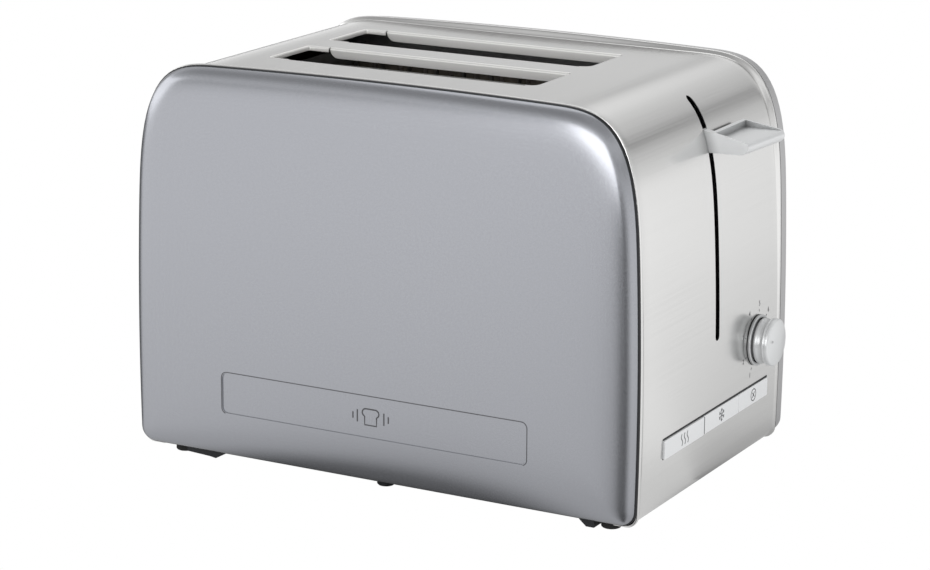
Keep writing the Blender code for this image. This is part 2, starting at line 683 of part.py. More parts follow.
def make_magnet():
    """Electromagnet that holds the armature plate down while the bread toasts."""
    x = (84.0, 97.0)
    foot = BASE_HIGH + GAP
    yoke = [(-33.0, foot), (-12.0, foot), (-12.0, MAGNET_TOP), (-17.0, MAGNET_TOP), (-17.0, 15.0)]
    yoke += [(-28.0, 15.0), (-28.0, MAGNET_TOP), (-33.0, MAGNET_TOP)]
    place("magnet_core", prism(yoke, 0, *x), zinc_plate())
    copper = finish("coil_winding", (0.55, 0.25, 0.12), 0.35, 0.6)
    coil = place("magnet_coil", rounded_box((79.5, 101.5), (-37.5, -23.5), (17.0, 42.0), 3.0, 2), copper)
    cut(coil, box((83.6, 97.4), (-33.4, -27.6), (10.0, 50.0)))


def make_electrics():
    """Mains switch, control board with its capacitor and tact switches, and the timer."""
    foot = BASE_HIGH + GAP
    place("mains_switch", rounded_box((84.0, 98.0), (13.0, 33.0), (foot, 44.0), 1.5, 2), black_plastic())
    board = finish("circuit_board", (0.03, 0.14, 0.06), 0.5)
    place("control_board", box((BOARD_X, BOARD_X + BOARD), (-62.0, 62.0), (foot, BOARD_TOP)), board)
    can = cylinder(6.0, 0, 11.0, axis=(-1, 0, 0), origin=(BOARD_X - GAP, 44.0, 30.0), segments=16)
    smooth(place("capacitor", can, finish("capacitor_can", (0.03, 0.04, 0.10), 0.4)))
    outer = BOARD_X + BOARD + GAP
    for name, (low, high) in zip(KEY_NAMES, KEY_EDGES):
        y, z = (low + high) / 2, (KEY_LOW + KEY_HIGH) / 2
        switch = box((outer, outer + 1.8), (y - 3, y + 3), (z - 3, z + 3))
        place(name.replace("_key", "_switch"), switch, black_plastic())
    timer = rounded_box((outer, 123.0), (KNOB_Y - 8, KNOB_Y + 8), (KNOB_Z - 8, KNOB_Z + 8), 1.5, 0)
    timer = place("timer_potentiometer", timer, zinc_plate())
    cut(timer, cylinder(3.2, 117.0, 125.0, axis=(1, 0, 0), origin=(0, KNOB_Y, KNOB_Z), segments=20))


def make_keys():
    """Three push keys in one window, and the frame that guides their stems."""
    z = (KEY_LOW, KEY_HIGH)
    middle = (KEY_LOW + KEY_HIGH) / 2
    frame = place("key_frame", box((125.0, 127.0), (-62.5, 62.5), (26.5, 44.0)), black_plastic())
    for name, (low, high), proud in zip(KEY_NAMES, KEY_EDGES, KEY_PROUD):
        face = HALF_LENGTH + proud
        cap = rounded_box((129.6, face), (low, high), z, 0.7, 0)
        centre = (low + high) / 2
        key = place(name, cap, silver_plastic(), pivot=(129.6, centre, middle))
        stem = ((117.9, 130.0), (centre - 2.5, centre + 2.5), (middle - 2.0, middle + 2.0))
        add(key, box(*stem))
        around = [(a - 0.4, b + 0.4) for a, b in stem]
        cut(frame, box(*around))


def make_knob():
    """Browning knob on the timer's shaft, inside a fixed collar."""
    axis, centre = (1, 0, 0), (0, KNOB_Y, KNOB_Z)
    pivot = bpy.data.objects.new("knob_axis", None)
    pivot.location = Vector((HALF_LENGTH, KNOB_Y, KNOB_Z)) * MM
    pivot.parent = FRAME
    bpy.context.scene.collection.objects.link(pivot)
    ring = ((10.8, 131.0), (11.6, 131.0), (11.6, 135.3), (12.6, 135.3), (12.6, 136.0))
    ring += ((12.1, 136.6), (10.8, 136.6))
    smooth(place("knob_collar", turned(ring, axis, centre, 32), silver_plastic()))
    bore, cap = 3.2, KNOB_FACE
    knob = ((bore, 132.0), (10.3, 132.0), (10.3, 137.1), (11.3, 137.4), (11.3, 138.9), (10.6, 140.2))
    knob += ((10.6, 141.0), (11.65, 142.2), (11.65, cap - 0.9), (10.9, cap), (bore, cap))
    body = turned(knob, axis, centre, 32)
    bored = place_on(pivot, "browning_knob", body, silver_plastic())
    add(smooth(bored), cylinder(bore + 0.4, cap - 3.0, cap - 0.05, axis=axis, origin=centre, segments=16))
    shaft = cylinder(bore - GAP, 117.4, cap - 3.4, axis=axis, origin=centre, segments=20)
    smooth(place_on(pivot, "timer_shaft", shaft, zinc_plate()))


def place_on(parent, name, mesh, material):
    """Like place, for a piece that hangs from an empty on its own axis."""
    origin = parent.location / MM
    made = place(name, mesh, material, pivot=origin, parent=parent)
    made.location = (0, 0, 0)
    return made


def make_tray():
    """Crumb tray under the chamber, which pulls out at the end away from the lever."""
    tray = box((TRAY_LEFT, TRAY_RIGHT), (-TRAY_HALF, TRAY_HALF), (TRAY_LOW, TRAY_HIGH))
    tray = place("crumb_tray", tray, zinc_plate(), pivot=(TRAY_LEFT, 0, TRAY_LOW))
    inside = (TRAY_LEFT + TRAY_WALL, TRAY_RIGHT - TRAY_WALL), (-TRAY_HALF + TRAY_WALL, TRAY_HALF - TRAY_WALL)
    cut(tray, box(*inside, (TRAY_LOW + TRAY_WALL, TRAY_HIGH + 5)))
    face = -HALF_LENGTH - 0.6
    side = [(TRAY_LEFT - GAP, TRAY_LOW), (face - 1.4, TRAY_LOW), (PULL_LEFT, TRAY_LOW + 2.4)]
    side += [(PULL_LEFT, TRAY_LOW + 4.0), (face - 1.6, TRAY_LOW + 4.6), (face - 1.4, TRAY_MOUTH - 0.6)]
    side += [(TRAY_LEFT - GAP, TRAY_MOUTH - 0.6)]
    pull = prism(side, 1, -TRAY_HALF, TRAY_HALF)
    place("crumb_tray_pull", pull, silver_plastic(), pivot=(TRAY_LEFT, 0, TRAY_LOW))


def build():
    make_wrap()
    make_panels()
    make_cord_gland()
    make_base()
    make_underside()
    make_chassis()
    make_heaters()
    make_guards()
    make_guide()
    make_carriage(FRAME)
    make_lifters(FRAME)
    make_handle(FRAME)
    make_spring()
    make_magnet()
    make_electrics()
    make_keys()
    make_knob()
    make_tray()


remove_everything()
FRAME = make_frame()
build()
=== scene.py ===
"""Looks of the pop-up toaster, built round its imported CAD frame.

Shapes are drawn in millimetres in the toaster's own body frame: x = 0 half way along the shell, y = 0 on
the lever slit, z = 0 on the table. place() scales them to metres and shifts them to the shared frame.
"""

import json
import math

import bmesh
import bpy
from mathutils import Matrix, Vector


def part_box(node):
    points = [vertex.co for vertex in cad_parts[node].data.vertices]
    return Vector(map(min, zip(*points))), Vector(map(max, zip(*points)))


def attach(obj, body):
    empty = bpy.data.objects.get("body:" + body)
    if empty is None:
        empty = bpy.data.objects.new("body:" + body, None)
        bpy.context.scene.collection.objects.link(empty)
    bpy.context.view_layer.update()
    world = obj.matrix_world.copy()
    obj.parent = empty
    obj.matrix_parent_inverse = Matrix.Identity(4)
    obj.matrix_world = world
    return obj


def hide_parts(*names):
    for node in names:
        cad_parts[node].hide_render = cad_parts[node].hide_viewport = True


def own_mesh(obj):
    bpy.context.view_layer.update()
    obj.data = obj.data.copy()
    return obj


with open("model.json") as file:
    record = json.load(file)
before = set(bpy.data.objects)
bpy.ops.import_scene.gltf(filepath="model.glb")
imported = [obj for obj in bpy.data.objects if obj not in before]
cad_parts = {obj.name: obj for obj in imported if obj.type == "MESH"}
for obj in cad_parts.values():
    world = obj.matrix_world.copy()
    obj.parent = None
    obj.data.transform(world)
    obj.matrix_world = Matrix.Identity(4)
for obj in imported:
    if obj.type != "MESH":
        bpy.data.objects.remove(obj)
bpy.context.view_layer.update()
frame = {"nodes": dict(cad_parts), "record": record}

MM = 0.001
SHELL_LOW, SHELL_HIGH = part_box("wrap_shell")
ROD_LOW, ROD_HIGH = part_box("guide_rod")
ORIGIN = Vector(((SHELL_LOW.x + SHELL_HIGH.x) / 2, (ROD_LOW.y + ROD_HIGH.y) / 2, 0.0))


def local_box(node):
    """A CAD node's box in millimetres in the body frame."""
    low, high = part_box(node)
    return (low - ORIGIN) / MM, (high - ORIGIN) / MM


# Outer shell, the same outline as the CAD solids. The wrap flares by a lip at its two rims.
LIP, LIP_DROP, LIP_WIDTH, LIP_EASE = 0.3, 0.7, 1.6, 2.2
HALF_LENGTH = local_box("wrap_shell")[1].x - LIP
SHELL_BOTTOM = local_box("wrap_shell")[0].z + LIP
SHELL_TOP = 195.1
CORNER_LENGTH, CORNER_HEIGHT, CORNER_POWER = 45.9, 75.9, 3.81
BOW_CENTRE, PANEL_BOW, WRAP_BOW = 52.5, 0.0213, 0.0296
CROWN, CROWN_START, CROWN_EASE = 2.66, 90.0, 60.0
BOTTOM_RADIUS, FRONT_BOTTOM_RADIUS, LEAST_RADIUS = 5.5, 7.2, 3.0
WRAP_FRONT, WRAP_REAR = local_box("wrap_shell")[0].y, local_box("wrap_shell")[1].y
WRAP_WALL, FLANGE = 0.8, 6.2
PANEL_GAP, PANEL_EDGE = 0.6, 0.35
FRONT_FACE, REAR_FACE = local_box("front_panel")[0].y, local_box("rear_panel")[1].y
SKIRT_INSET, SKIRT_DEPTH, PANEL_WALL = 1.5, 7.7, 1.2
FRONT_ROLL, REAR_ROLL = (2.64, 0.71), (0.62, 0.9)  # reach and power of a panel's rolled edge
LABEL_HALF, LABEL_LOW, LABEL_HIGH = 82.8, 28.8, 49.7
LABEL_DEPTH, LABEL_RADIUS, LABEL_SLOPE = 0.55, 3.0, 0.5
LABEL_MIDDLE = (LABEL_LOW + LABEL_HIGH) / 2

# Openings
SLOT_LEFT, SLOT_RIGHT, SLOT_NEAR, SLOT_FAR = -84.3, 60.5, 9.3, 46.0
SLOT_CORNER, SLOT_WIDE_CORNER = 2.0, 5.0
FOLD_LEFT, FOLD_DEPTH, FOLD_RADIUS, FOLD_WALL, FOLD_CORNER = -72.0, 5.0, 1.3, 0.7, 4.6
SLIT_HALF, SLIT_LOW, SLIT_HIGH = 2.25, 73.0, 188.5
KNOB_Y, KNOB_Z, KNOB_HOLE = 47.7, 61.8, 11.9
GLAND_HOLE = 6.4
KEY_NAMES, KEY_BACK = ("reheat_key", "defrost_key", "stop_key"), 130.0

# Browning dial, as clock angles in degrees seen from the lever end
NOTCH_CLOCK = 286.0
DIAL_CLOCKS = (206.0, 246.0, 286.0, 327.0, 7.0, 47.0)
DIGIT_HEIGHT, DIGIT_CIRCLE, TICK_START, TICK_END = 3.6, 17.9, 13.9, 15.1

# Black seal strips between the panels and the wrap, which paint the shade in the joints, as (inset, distance
# in from the rim) round the strip; the front one reaches over the panel's rolled edge as a painted shade
# band
FRONT_SEAL_SHADE = (
    (0.45, 0.9), (0.1, 0.7), (0.02, -0.1), (0.02, -1.3), (0.25, -1.75), (0.45, -1.8), (0.75, -1.8),
    (0.75, 0.9),
)
REAR_SEAL_SHADE = ((0.75, 0.9), (0.2, 0.7), (0.02, -0.1), (0.02, -0.9), (0.25, -1.05), (0.75, -1.05))

# Guide rod and the lift spring round it
ROD_TILT, ROD_X, ROD_Z = 5.0, 88.0, 150.0
SPRING_FOOT, SPRING_HEAD_GAP = 11.9, 21.2
SPRING_TURNS, SPRING_RADIUS, SPRING_WIRE = 12, 7.0, 0.6

# Prints: how far off a surface they start, and how thick a line and the painted shade line round the label
# field's edge are
PRINT_LIFT, PRINT_THICK, SHADE_EDGE_THICK = 0.005, 0.04, 0.08


# ---------------------------------------------------------------- shape tools


def link(name, data):
    made = bpy.data.objects.new(name, data)
    bpy.context.scene.collection.objects.link(made)
    return made


def place(name, mesh, body, slot, sharp=35.0):
    """Turns a bmesh drawn in the body frame into a piece that rides on a CAD body."""
    mesh.normal_update()
    bmesh.ops.recalc_face_normals(mesh, faces=mesh.faces)
    mesh.transform(Matrix.Translation(ORIGIN) @ Matrix.Scale(MM, 4))
    data = bpy.data.meshes.new(name)
    mesh.to_mesh(data)
    mesh.free()
    data.shade_smooth()
    data.set_sharp_from_angle(angle=math.radians(sharp))
    made = link(name, data)
    data.materials.append(MATERIALS[slot])
    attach(made, body)
    return made


def bevel(made, width):
    """Rounds the edges of a piece; the width is in millimetres."""
    modifier = made.modifiers.new("rounded edges", "BEVEL")
    modifier.width = width * MM
    modifier.segments = 3
    modifier.limit_method = "ANGLE"
    modifier.angle_limit = math.radians(35.0)
    modifier.harden_normals = True


def bridge(mesh, rings, capped=True):
    """Joins closed rings of vertices one after another, and closes the two ends."""
    count = len(rings[0])
    for first, second in zip(rings, rings[1:]):
        for i in range(count):
            j = (i + 1) % count
            mesh.faces.new((first[i], first[j], second[j], second[i]))
    if capped:
        mesh.faces.new(rings[0])
        mesh.faces.new(rings[-1])


def box(x, y, z):
    mesh = bmesh.new()
    bmesh.ops.create_cube(mesh, size=1.0)
    size = Matrix.Diagonal((x[1] - x[0], y[1] - y[0], z[1] - z[0], 1))
    middle = Vector(((x[0] + x[1]) / 2, (y[0] + y[1]) / 2, (z[0] + z[1]) / 2))
    mesh.transform(Matrix.Translation(middle) @ size)
    return mesh


def rounded_box(x, y, z, radius, axis, steps=6):
    """A box whose edges along one axis are rounded."""
    mesh = box(x, y, z)
    along = [e for e in mesh.edges if abs((e.verts[0].co - e.verts[1].co)[axis]) > 1e-6]
    bmesh.ops.bevel(mesh, geom=along, offset=radius, segments=steps, profile=0.5, affect="EDGES")
    return mesh


def prism(points, axis, low, high):
    """A polygon in the plane across an axis, extruded along it."""
    mesh = bmesh.new()
    others = [i for i in range(3) if i != axis]
    rings = []
    for along in (low, high):
        ring = []
        for point in points:
            corner = Vector((0, 0, 0))
            corner[axis] = along
            corner[others[0]], corner[others[1]] = point
            ring.append(mesh.verts.new(corner))
        rings.append(ring)
    bridge(mesh, rings)
    return mesh


def turned(profile, axis=(0, 0, 1), origin=(0, 0, 0), segments=96):
    """A solid turned about an axis from (radius, distance) pairs; a radius of 0 closes on the axis."""
    mesh = bmesh.new()
    turn = Vector((0, 0, 1)).rotation_difference(Vector(axis)).to_matrix().to_4x4()
    rows = []
    for r, z in profile:
        if r < 1e-6:
            rows.append([mesh.verts.new((0, 0, z))] * segments)
            continue
        angles = [2 * math.pi * step / segments for step in range(segments)]
        rows.append([mesh.verts.new((r * math.cos(a), r * math.sin(a), z)) for a in angles])
    open_profile = profile[0][0] < 1e-6 or profile[-1][0] < 1e-6
    for first, second in zip(rows, rows[1:] + ([] if open_profile else rows[:1])):
        for i in range(segments):
            j = (i + 1) % segments
            corners = list(dict.fromkeys((first[i], first[j], second[j], second[i])))
            if len(corners) > 2:
                mesh.faces.new(corners)
    mesh.transform(Matrix.Translation(origin) @ turn)
    return mesh


def carved(mesh, cutters, operation="DIFFERENCE"):
    """A bmesh after exact Booleans with other bmeshes."""
    def as_object(shape):
        shape.normal_update()
        bmesh.ops.recalc_face_normals(shape, faces=shape.faces)
        data = bpy.data.meshes.new("shape")
        shape.to_mesh(data)
        shape.free()
        return link("shape", data)

    target = as_object(mesh)
    tools = [as_object(c) for c in cutters]
    for tool in tools:
        modifier = target.modifiers.new("cut", "BOOLEAN")
        modifier.operation = operation
        modifier.object = tool
        modifier.solver = "EXACT"
    bpy.context.view_layer.update()
    done = bpy.data.meshes.new_from_object(target.evaluated_get(bpy.context.evaluated_depsgraph_get()))
    result = bmesh.new()
    result.from_mesh(done)
    for old in [target] + tools:
        bpy.data.objects.remove(old, do_unlink=True)
    bpy.data.meshes.remove(done)
    return result


def joined(meshes):
    """Several bmeshes in one, as separate bodies."""
    result = bmesh.new()
    for mesh in meshes:
        data = bpy.data.meshes.new("part")
        mesh.normal_update()
        bmesh.ops.recalc_face_normals(mesh, faces=mesh.faces)
        mesh.to_mesh(data)
        mesh.free()
        result.from_mesh(data)
        bpy.data.meshes.remove(data)
    return result


def spread(low, high, count):
    return [low + (high - low) * i / (count - 1) for i in range(count)]


def smoothstep(t):
    t = min(max(t, 0.0), 1.0)
    return t * t * (3 - 2 * t)


def arc(centre, radius, first, last, steps):
    """Points on an arc, with angles in degrees."""
    angles = [math.radians(a) for a in spread(first, last, steps + 1)]
    return [(centre[0] + radius * math.cos(a), centre[1] + radius * math.sin(a)) for a in angles]


# ---------------------------------------------------------------- shell outline


def half_outline(inset, bow, crown, out=0.0, foot=BOTTOM_RADIUS):
    """Half of the shell's outline from the foot of the +X end to the middle of the top, as (x, z) pairs."""
    reach = HALF_LENGTH - inset + out
    low, high = SHELL_BOTTOM + inset - out, SHELL_TOP - inset + out
    length, height = CORNER_LENGTH - inset, CORNER_HEIGHT - inset
    radius = max(foot - 0.45 * inset, LEAST_RADIUS)
    points = arc((reach - radius, low + radius), radius, -90, 0, 6)
    points += [(reach, z) for z in spread(low + radius, high - height, 18)[1:]]
    for angle in spread(0.0, math.pi / 2, 31)[1:]:
        c, s = math.cos(angle), math.sin(angle)
        r = (c**CORNER_POWER + s**CORNER_POWER) ** (-1 / CORNER_POWER)
        points.append((reach - length + length * r * c, high - height + height * r * s))
    points += [(x, high) for x in spread(reach - length, 0.0, 13)[1:]]
    shaped = []
    for x, z in points:
        lean = 1 - bow * ((z - BOW_CENTRE) / 100) ** 2
        rise = crown * (1 - (x * lean / HALF_LENGTH) ** 2) * smoothstep((z - CROWN_START) / CROWN_EASE)
        shaped.append((x * lean, z + rise))
    return shaped


def full_outline(*args, **more):
    """The shell's outline from the foot of the +X end over the top to the foot of the other end."""
    half = half_outline(*args, **more)
    return half + [(-x, z) for x, z in reversed(half[:-1])]


def end_wall(z):
    """How far out the wrap's +X end wall stands at a height."""
    return HALF_LENGTH * (1 - WRAP_BOW * ((z - BOW_CENTRE) / 100) ** 2)


# ---------------------------------------------------------------- materials


def new_material(name):
    """A node material with its nodes, its links and its shader."""
    made = bpy.data.materials.new(name)
    made.use_nodes = True
    return made, made.node_tree.nodes, made.node_tree.links, made.node_tree.nodes["Principled BSDF"]


def grain(nodes, links, scale):
    """Noise over the object's own coordinates, stretched by a scale for each axis."""
    coordinates = nodes.new("ShaderNodeTexCoord")
    mapping = nodes.new("ShaderNodeMapping")
    mapping.inputs["Scale"].default_value = scale
    noise = nodes.new("ShaderNodeTexNoise")
    noise.inputs["Scale"].default_value = 1.0
    noise.inputs["Detail"].default_value = 4.0
    noise.inputs["Roughness"].default_value = 0.55
    links.new(coordinates.outputs["Object"], mapping.inputs["Vector"])
    links.new(mapping.outputs["Vector"], noise.inputs["Vector"])
    return noise


def spread_value(nodes, links, source, low, high):
    """A texture's 0 to 1 value mapped to a range."""
    ranged = nodes.new("ShaderNodeMapRange")
    ranged.inputs["From Min"].default_value = 0.25
    ranged.inputs["From Max"].default_value = 0.75
    ranged.inputs["To Min"].default_value = low
    ranged.inputs["To Max"].default_value = high
    links.new(source.outputs[0], ranged.inputs["Value"])
    return ranged


def tinted(nodes, links, source, first, second):
    """A texture's value mapped to a blend of two colours."""
    ramp = nodes.new("ShaderNodeValToRGB")
    ramp.color_ramp.elements[0].position = 0.3
    ramp.color_ramp.elements[1].position = 0.7
    ramp.color_ramp.elements[0].color = (*first, 1.0)
    ramp.color_ramp.elements[1].color = (*second, 1.0)
    links.new(source.outputs[0], ramp.inputs["Fac"])
    return ramp


def add_bump(nodes, links, shader, source, strength, distance):
    bump = nodes.new("ShaderNodeBump")
    bump.inputs["Strength"].default_value = strength
    bump.inputs["Distance"].default_value = distance
    links.new(source.outputs[0], bump.inputs["Height"])
    links.new(bump.outputs["Normal"], shader.inputs["Normal"])


def surface(name, first, second, roughness, metallic, scale, bump, distance, constants):
    """A Principled material with two close colours, roughness and bump from one noise."""
    made, nodes, links, shader = new_material(name)
    noise = grain(nodes, links, scale)
    links.new(tinted(nodes, links, noise, first, second).outputs["Color"], shader.inputs["Base Color"])
    rough = spread_value(nodes, links, noise, roughness - 0.04, roughness + 0.04)
    links.new(rough.outputs["Result"], shader.inputs["Roughness"])
    shader.inputs["Metallic"].default_value = metallic
    for socket, value in constants.items():
        shader.inputs[socket].default_value = value
    if bump:
        add_bump(nodes, links, shader, noise, bump, distance)
    made.diffuse_color = (*first, 1.0)
    return made


def shade_hollows(made, reach):
    """Paints shade into a material's colour: darker in its grooves and where it faces something close
    (ambient occlusion on the base colour).
    """
    nodes, links = made.node_tree.nodes, made.node_tree.links
    base = nodes["Principled BSDF"].inputs["Base Color"]
    near = nodes.new("ShaderNodeAmbientOcclusion")
    near.inputs["Distance"].default_value = reach
    links.new(base.links[0].from_socket, near.inputs["Color"])
    links.new(near.outputs["Color"], base)


def brush_lengthways(made):
    """Stretches the sheet's highlights round its bends, as brushing from front to back does."""
    nodes, links = made.node_tree.nodes, made.node_tree.links
    shader = nodes["Principled BSDF"]
    shader.inputs["Anisotropic"].default_value = 0.35
    tangent = nodes.new("ShaderNodeTangent")
    tangent.direction_type = "RADIAL"
    tangent.axis = "Y"
    links.new(tangent.outputs["Tangent"], shader.inputs["Tangent"])


FINE, FLAKE = (900, 900, 900), (8000, 8000, 8000)
DULL = {"Specular IOR Level": 0.2}

# Two close colours, roughness, metallic, grain along x, y and z, bump strength and distance, other sockets
FINISHES = {
    "brushed_steel": (
        (0.645, 0.643, 0.637), (0.665, 0.663, 0.657), 0.20, 1.0, (1500, 8, 1500), 0.02, 0.00002, {},
    ),
    "panel_paint": (
        (0.32, 0.328, 0.353), (0.328, 0.336, 0.361), 0.26, 0.85, FLAKE, 0.0, 0.0,
        {"Specular Tint": (0.6, 0.6, 0.6, 1.0)},
    ),
    "rear_paint": (
        (0.47, 0.47, 0.475), (0.48, 0.48, 0.485), 0.36, 0.6, FLAKE, 0.0, 0.0,
        {"Specular Tint": (0.7, 0.7, 0.7, 1.0)},
    ),
    "key_plastic": ((0.76, 0.77, 0.78), (0.775, 0.785, 0.795), 0.34, 0.2, FINE, 0.004, 0.00002, {}),
    "silver_plastic": ((0.645, 0.655, 0.662), (0.655, 0.665, 0.672), 0.32, 0.35, FINE, 0.004, 0.00002, {}),
    "black_plastic": ((0.012, 0.013, 0.015), (0.018, 0.019, 0.021), 0.5, 0.0, FINE, 0.2, 0.00006, DULL),
    "fold_steel": ((0.72, 0.715, 0.70), (0.74, 0.735, 0.72), 0.38, 0.55, (8, 900, 900), 0.02, 0.00002, {}),
    "zinc_plate": ((0.16, 0.16, 0.16), (0.24, 0.24, 0.24), 0.42, 1.0, (90, 90, 700), 0.08, 0.00005, {}),
    "mica": ((0.05, 0.043, 0.033), (0.09, 0.077, 0.06), 0.55, 0.0, (260, 40, 160), 0.3, 0.0001, {}),
    "heater_ribbon": ((0.16, 0.14, 0.13), (0.28, 0.25, 0.24), 0.45, 1.0, (500, 500, 60), 0.1, 0.00003, {}),
    "guard_wire": ((0.10, 0.10, 0.095), (0.18, 0.175, 0.165), 0.4, 1.0, (300, 300, 120), 0.1, 0.00003, {}),
    "foot_rubber": ((0.010, 0.010, 0.010), (0.016, 0.016, 0.016), 0.8, 0.0, FINE, 0.3, 0.00008, DULL),
    "coil_winding": ((0.36, 0.13, 0.05), (0.60, 0.28, 0.13), 0.32, 0.7, (30, 30, 3600), 0.6, 0.0002, {}),
    "circuit_board": ((0.015, 0.09, 0.035), (0.03, 0.16, 0.07), 0.4, 0.0, (420, 420, 420), 0.1, 0.00005, {}),
    "capacitor_can": ((0.02, 0.03, 0.09), (0.04, 0.05, 0.13), 0.3, 0.0, FINE, 0.05, 0.00003, {}),
    "print_ink": ((0.035, 0.035, 0.04), (0.05, 0.05, 0.055), 0.5, 0.0, FINE, 0.05, 0.00002, {}),
}


def build_materials():
    made = {name: surface(name, *row) for name, row in FINISHES.items()}
    brush_lengthways(made["brushed_steel"])
    # Painted shade: silver plastic's colour darkens within 6 mm of its own hollows and of parts close by.
    shade_hollows(made["silver_plastic"], 0.006)
    return made


# ---------------------------------------------------------------- wrap


def wrap_weight(distance):
    """1 on the flared rim, 0 on the main sheet, for a distance from the wrap's edge."""
    return 1 - smoothstep((distance - LIP_WIDTH) / LIP_EASE)


def wrap_stations():
    """(y, rim weight, edge inset) across the sheet, from the front edge to the rear edge."""
    plain = 3.9
    near = [0.0, 0.08, 0.2, 0.4, 0.9, 1.4] + spread(1.7, plain, 10)
    roll = {0.0: 0.4, 0.08: 0.22, 0.2: 0.09}
    front = [(WRAP_FRONT + d, wrap_weight(d), roll.get(d, 0.0)) for d in near]
    rear = [(WRAP_REAR - d, wrap_weight(d), roll.get(d, 0.0)) for d in reversed(near)]
    middle = [(y, 0.0, 0.0) for y in spread(WRAP_FRONT + plain, WRAP_REAR - plain, 26)[1:-1]]
    return front + middle + rear


def wrap_row(mesh, y, weight, inset):
    """The sheet's outline at one station, with the flanges that turn in under the base."""
    bow = WRAP_BOW + (PANEL_BOW - WRAP_BOW) * weight
    path = full_outline(inset, bow, CROWN * weight, LIP * weight)
    path = [(x, z - LIP_DROP * weight * (1 - smoothstep(z / 25))) for x, z in path]
    x, z = path[0]
    path = [(x - FLANGE, z)] + path + [(FLANGE - x, z)]
    return [mesh.verts.new((x, y, z)) for x, z in path]


def make_wrap():
    """The bent steel sheet over the ends and the top, with its openings."""
    mesh = bmesh.new()
    rows = []
    for y, weight, roll in wrap_stations():
        rows.append((wrap_row(mesh, y, weight, roll), wrap_row(mesh, y, weight, WRAP_WALL)))
    count = len(rows[0][0])
    for (outer_a, inner_a), (outer_b, inner_b) in zip(rows, rows[1:]):
        for i in range(count - 1):
            mesh.faces.new((outer_a[i], outer_a[i + 1], outer_b[i + 1], outer_b[i]))
            mesh.faces.new((inner_a[i], inner_b[i], inner_b[i + 1], inner_a[i + 1]))
        for i in (0, count - 1):
            mesh.faces.new((outer_a[i], outer_b[i], inner_b[i], inner_a[i]))
    for outer, inner in (rows[0], rows[-1]):
        for i in range(count - 1):
            mesh.faces.new((outer[i], inner[i], inner[i + 1], outer[i + 1]))
    shape = carved(mesh, slot_cutters() + end_cutters())
    wrap = place("wrap", shape, "housing", "brushed_steel", 50)
    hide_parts("wrap_shell")


def slot_sides():
    """For each long edge of a slot: its y, which way is into the sheet and where its fold ends."""
    sides = []
    for edge in (-SLOT_FAR, -SLOT_NEAR, SLOT_NEAR, SLOT_FAR):
        outward = 1 if (abs(edge) == SLOT_FAR) == (edge > 0) else -1
        stop = SLOT_RIGHT - (1.0 if outward > 0 else SLOT_WIDE_CORNER)
        sides.append((edge, outward, stop))
    return sides


def slot_outline(front, rear):
    """A slot's outline from above; the corner at the front of its right end has a wide radius."""
    wide, small = SLOT_WIDE_CORNER, SLOT_CORNER
    points = arc((SLOT_RIGHT - wide, front + wide), wide, -90, 0, 10)
    points += arc((SLOT_RIGHT - 1.2, rear - 1.2), 1.2, 0, 90, 4)
    points += arc((SLOT_LEFT + small, rear - small), small, 90, 180, 6)
    return points + arc((SLOT_LEFT + small, front + small), small, 180, 270, 6)


def slot_cutters():
    """What the bread slots are cut with, wider where their long edges fold down."""
    above = (SHELL_TOP - 6, SHELL_TOP + 4)
    cutters = []
    for front, rear in ((-SLOT_FAR, -SLOT_NEAR), (SLOT_NEAR, SLOT_FAR)):
        cutters.append(prism(slot_outline(front, rear), 2, *above))
    for edge, outward, stop in slot_sides():
        strip = sorted((edge - 2.0 * outward, edge + FOLD_RADIUS * outward))
        cutters.append(box((FOLD_LEFT, stop), strip, above))
    return cutters


def end_cutters():
    """What the lever slit, the knob's hole, the key window and the crumb tray's mouth are cut with."""
    end = (HALF_LENGTH - 25, HALF_LENGTH + 5)
    low, high = key_window()
    slit = rounded_box(end, (-SLIT_HALF, SLIT_HALF), (SLIT_LOW, SLIT_HIGH), SLIT_HALF * 0.98, 0, 8)
    span = ((0, end[0]), (KNOB_HOLE, end[0]), (KNOB_HOLE, end[1]), (0, end[1]))
    hole = turned(span, (1, 0, 0), (0, KNOB_Y, KNOB_Z))
    window = rounded_box(end, (low.y, high.y), (low.z, high.z), 0.8, 0, 5)
    tray = local_box("crumb_tray_pull")
    across, up = (tray[0].y - 1.5, tray[1].y + 1.5), (tray[0].z - 0.5, tray[1].z + 0.6)
    mouth = box((-HALF_LENGTH - 5, -HALF_LENGTH + 25), across, up)
    return [slit, hole, window, mouth]


def key_window():
    """Corners of the hole that the keys stand in."""
    low, high = local_box(KEY_NAMES[0])[0], local_box(KEY_NAMES[-1])[1]
    return low - Vector((0, 0.4, 0.3)), high + Vector((0, 0.4, 0.7))


def make_folds():
    """The long edges of the bread slots, rolled over and bent down, and the turned left ends."""
    meshes = []
    top, deep, r, corner = SHELL_TOP, FOLD_DEPTH, FOLD_RADIUS, FOLD_CORNER
    start = FOLD_LEFT + 0.15
    for edge, outward, stop in slot_sides():
        mesh = bmesh.new()
        rings = []
        ends = [corner * (1 - math.cos(math.radians(a))) for a in spread(0, 90, 9)]
        xs = [start + e for e in ends] + [stop - 4.0, stop - 1.5, stop - 0.5, stop]
        for x in xs:
            inside = min(x - start, corner)
            drop = min(corner - math.sqrt(max(corner**2 - (corner - inside) ** 2, 0.0)), deep - r)
            low = top - deep + drop
            outer = arc((r, top - r), r, 90, 180, 12) + [(0.0, low)]
            inner = [(FOLD_WALL, low)] + arc((r, top - r), r - FOLD_WALL, 180, 90, 12)
            rings.append([mesh.verts.new((x, edge + outward * a, z)) for a, z in outer + inner])
        bridge(mesh, rings)
        meshes.append(mesh)
    for front, rear in ((-SLOT_FAR, -SLOT_NEAR), (SLOT_NEAR, SLOT_FAR)):
        meshes.append(slot_end_rim(front, rear))
    folds = place("slot_folds", joined(meshes), "housing", "fold_steel", 40)


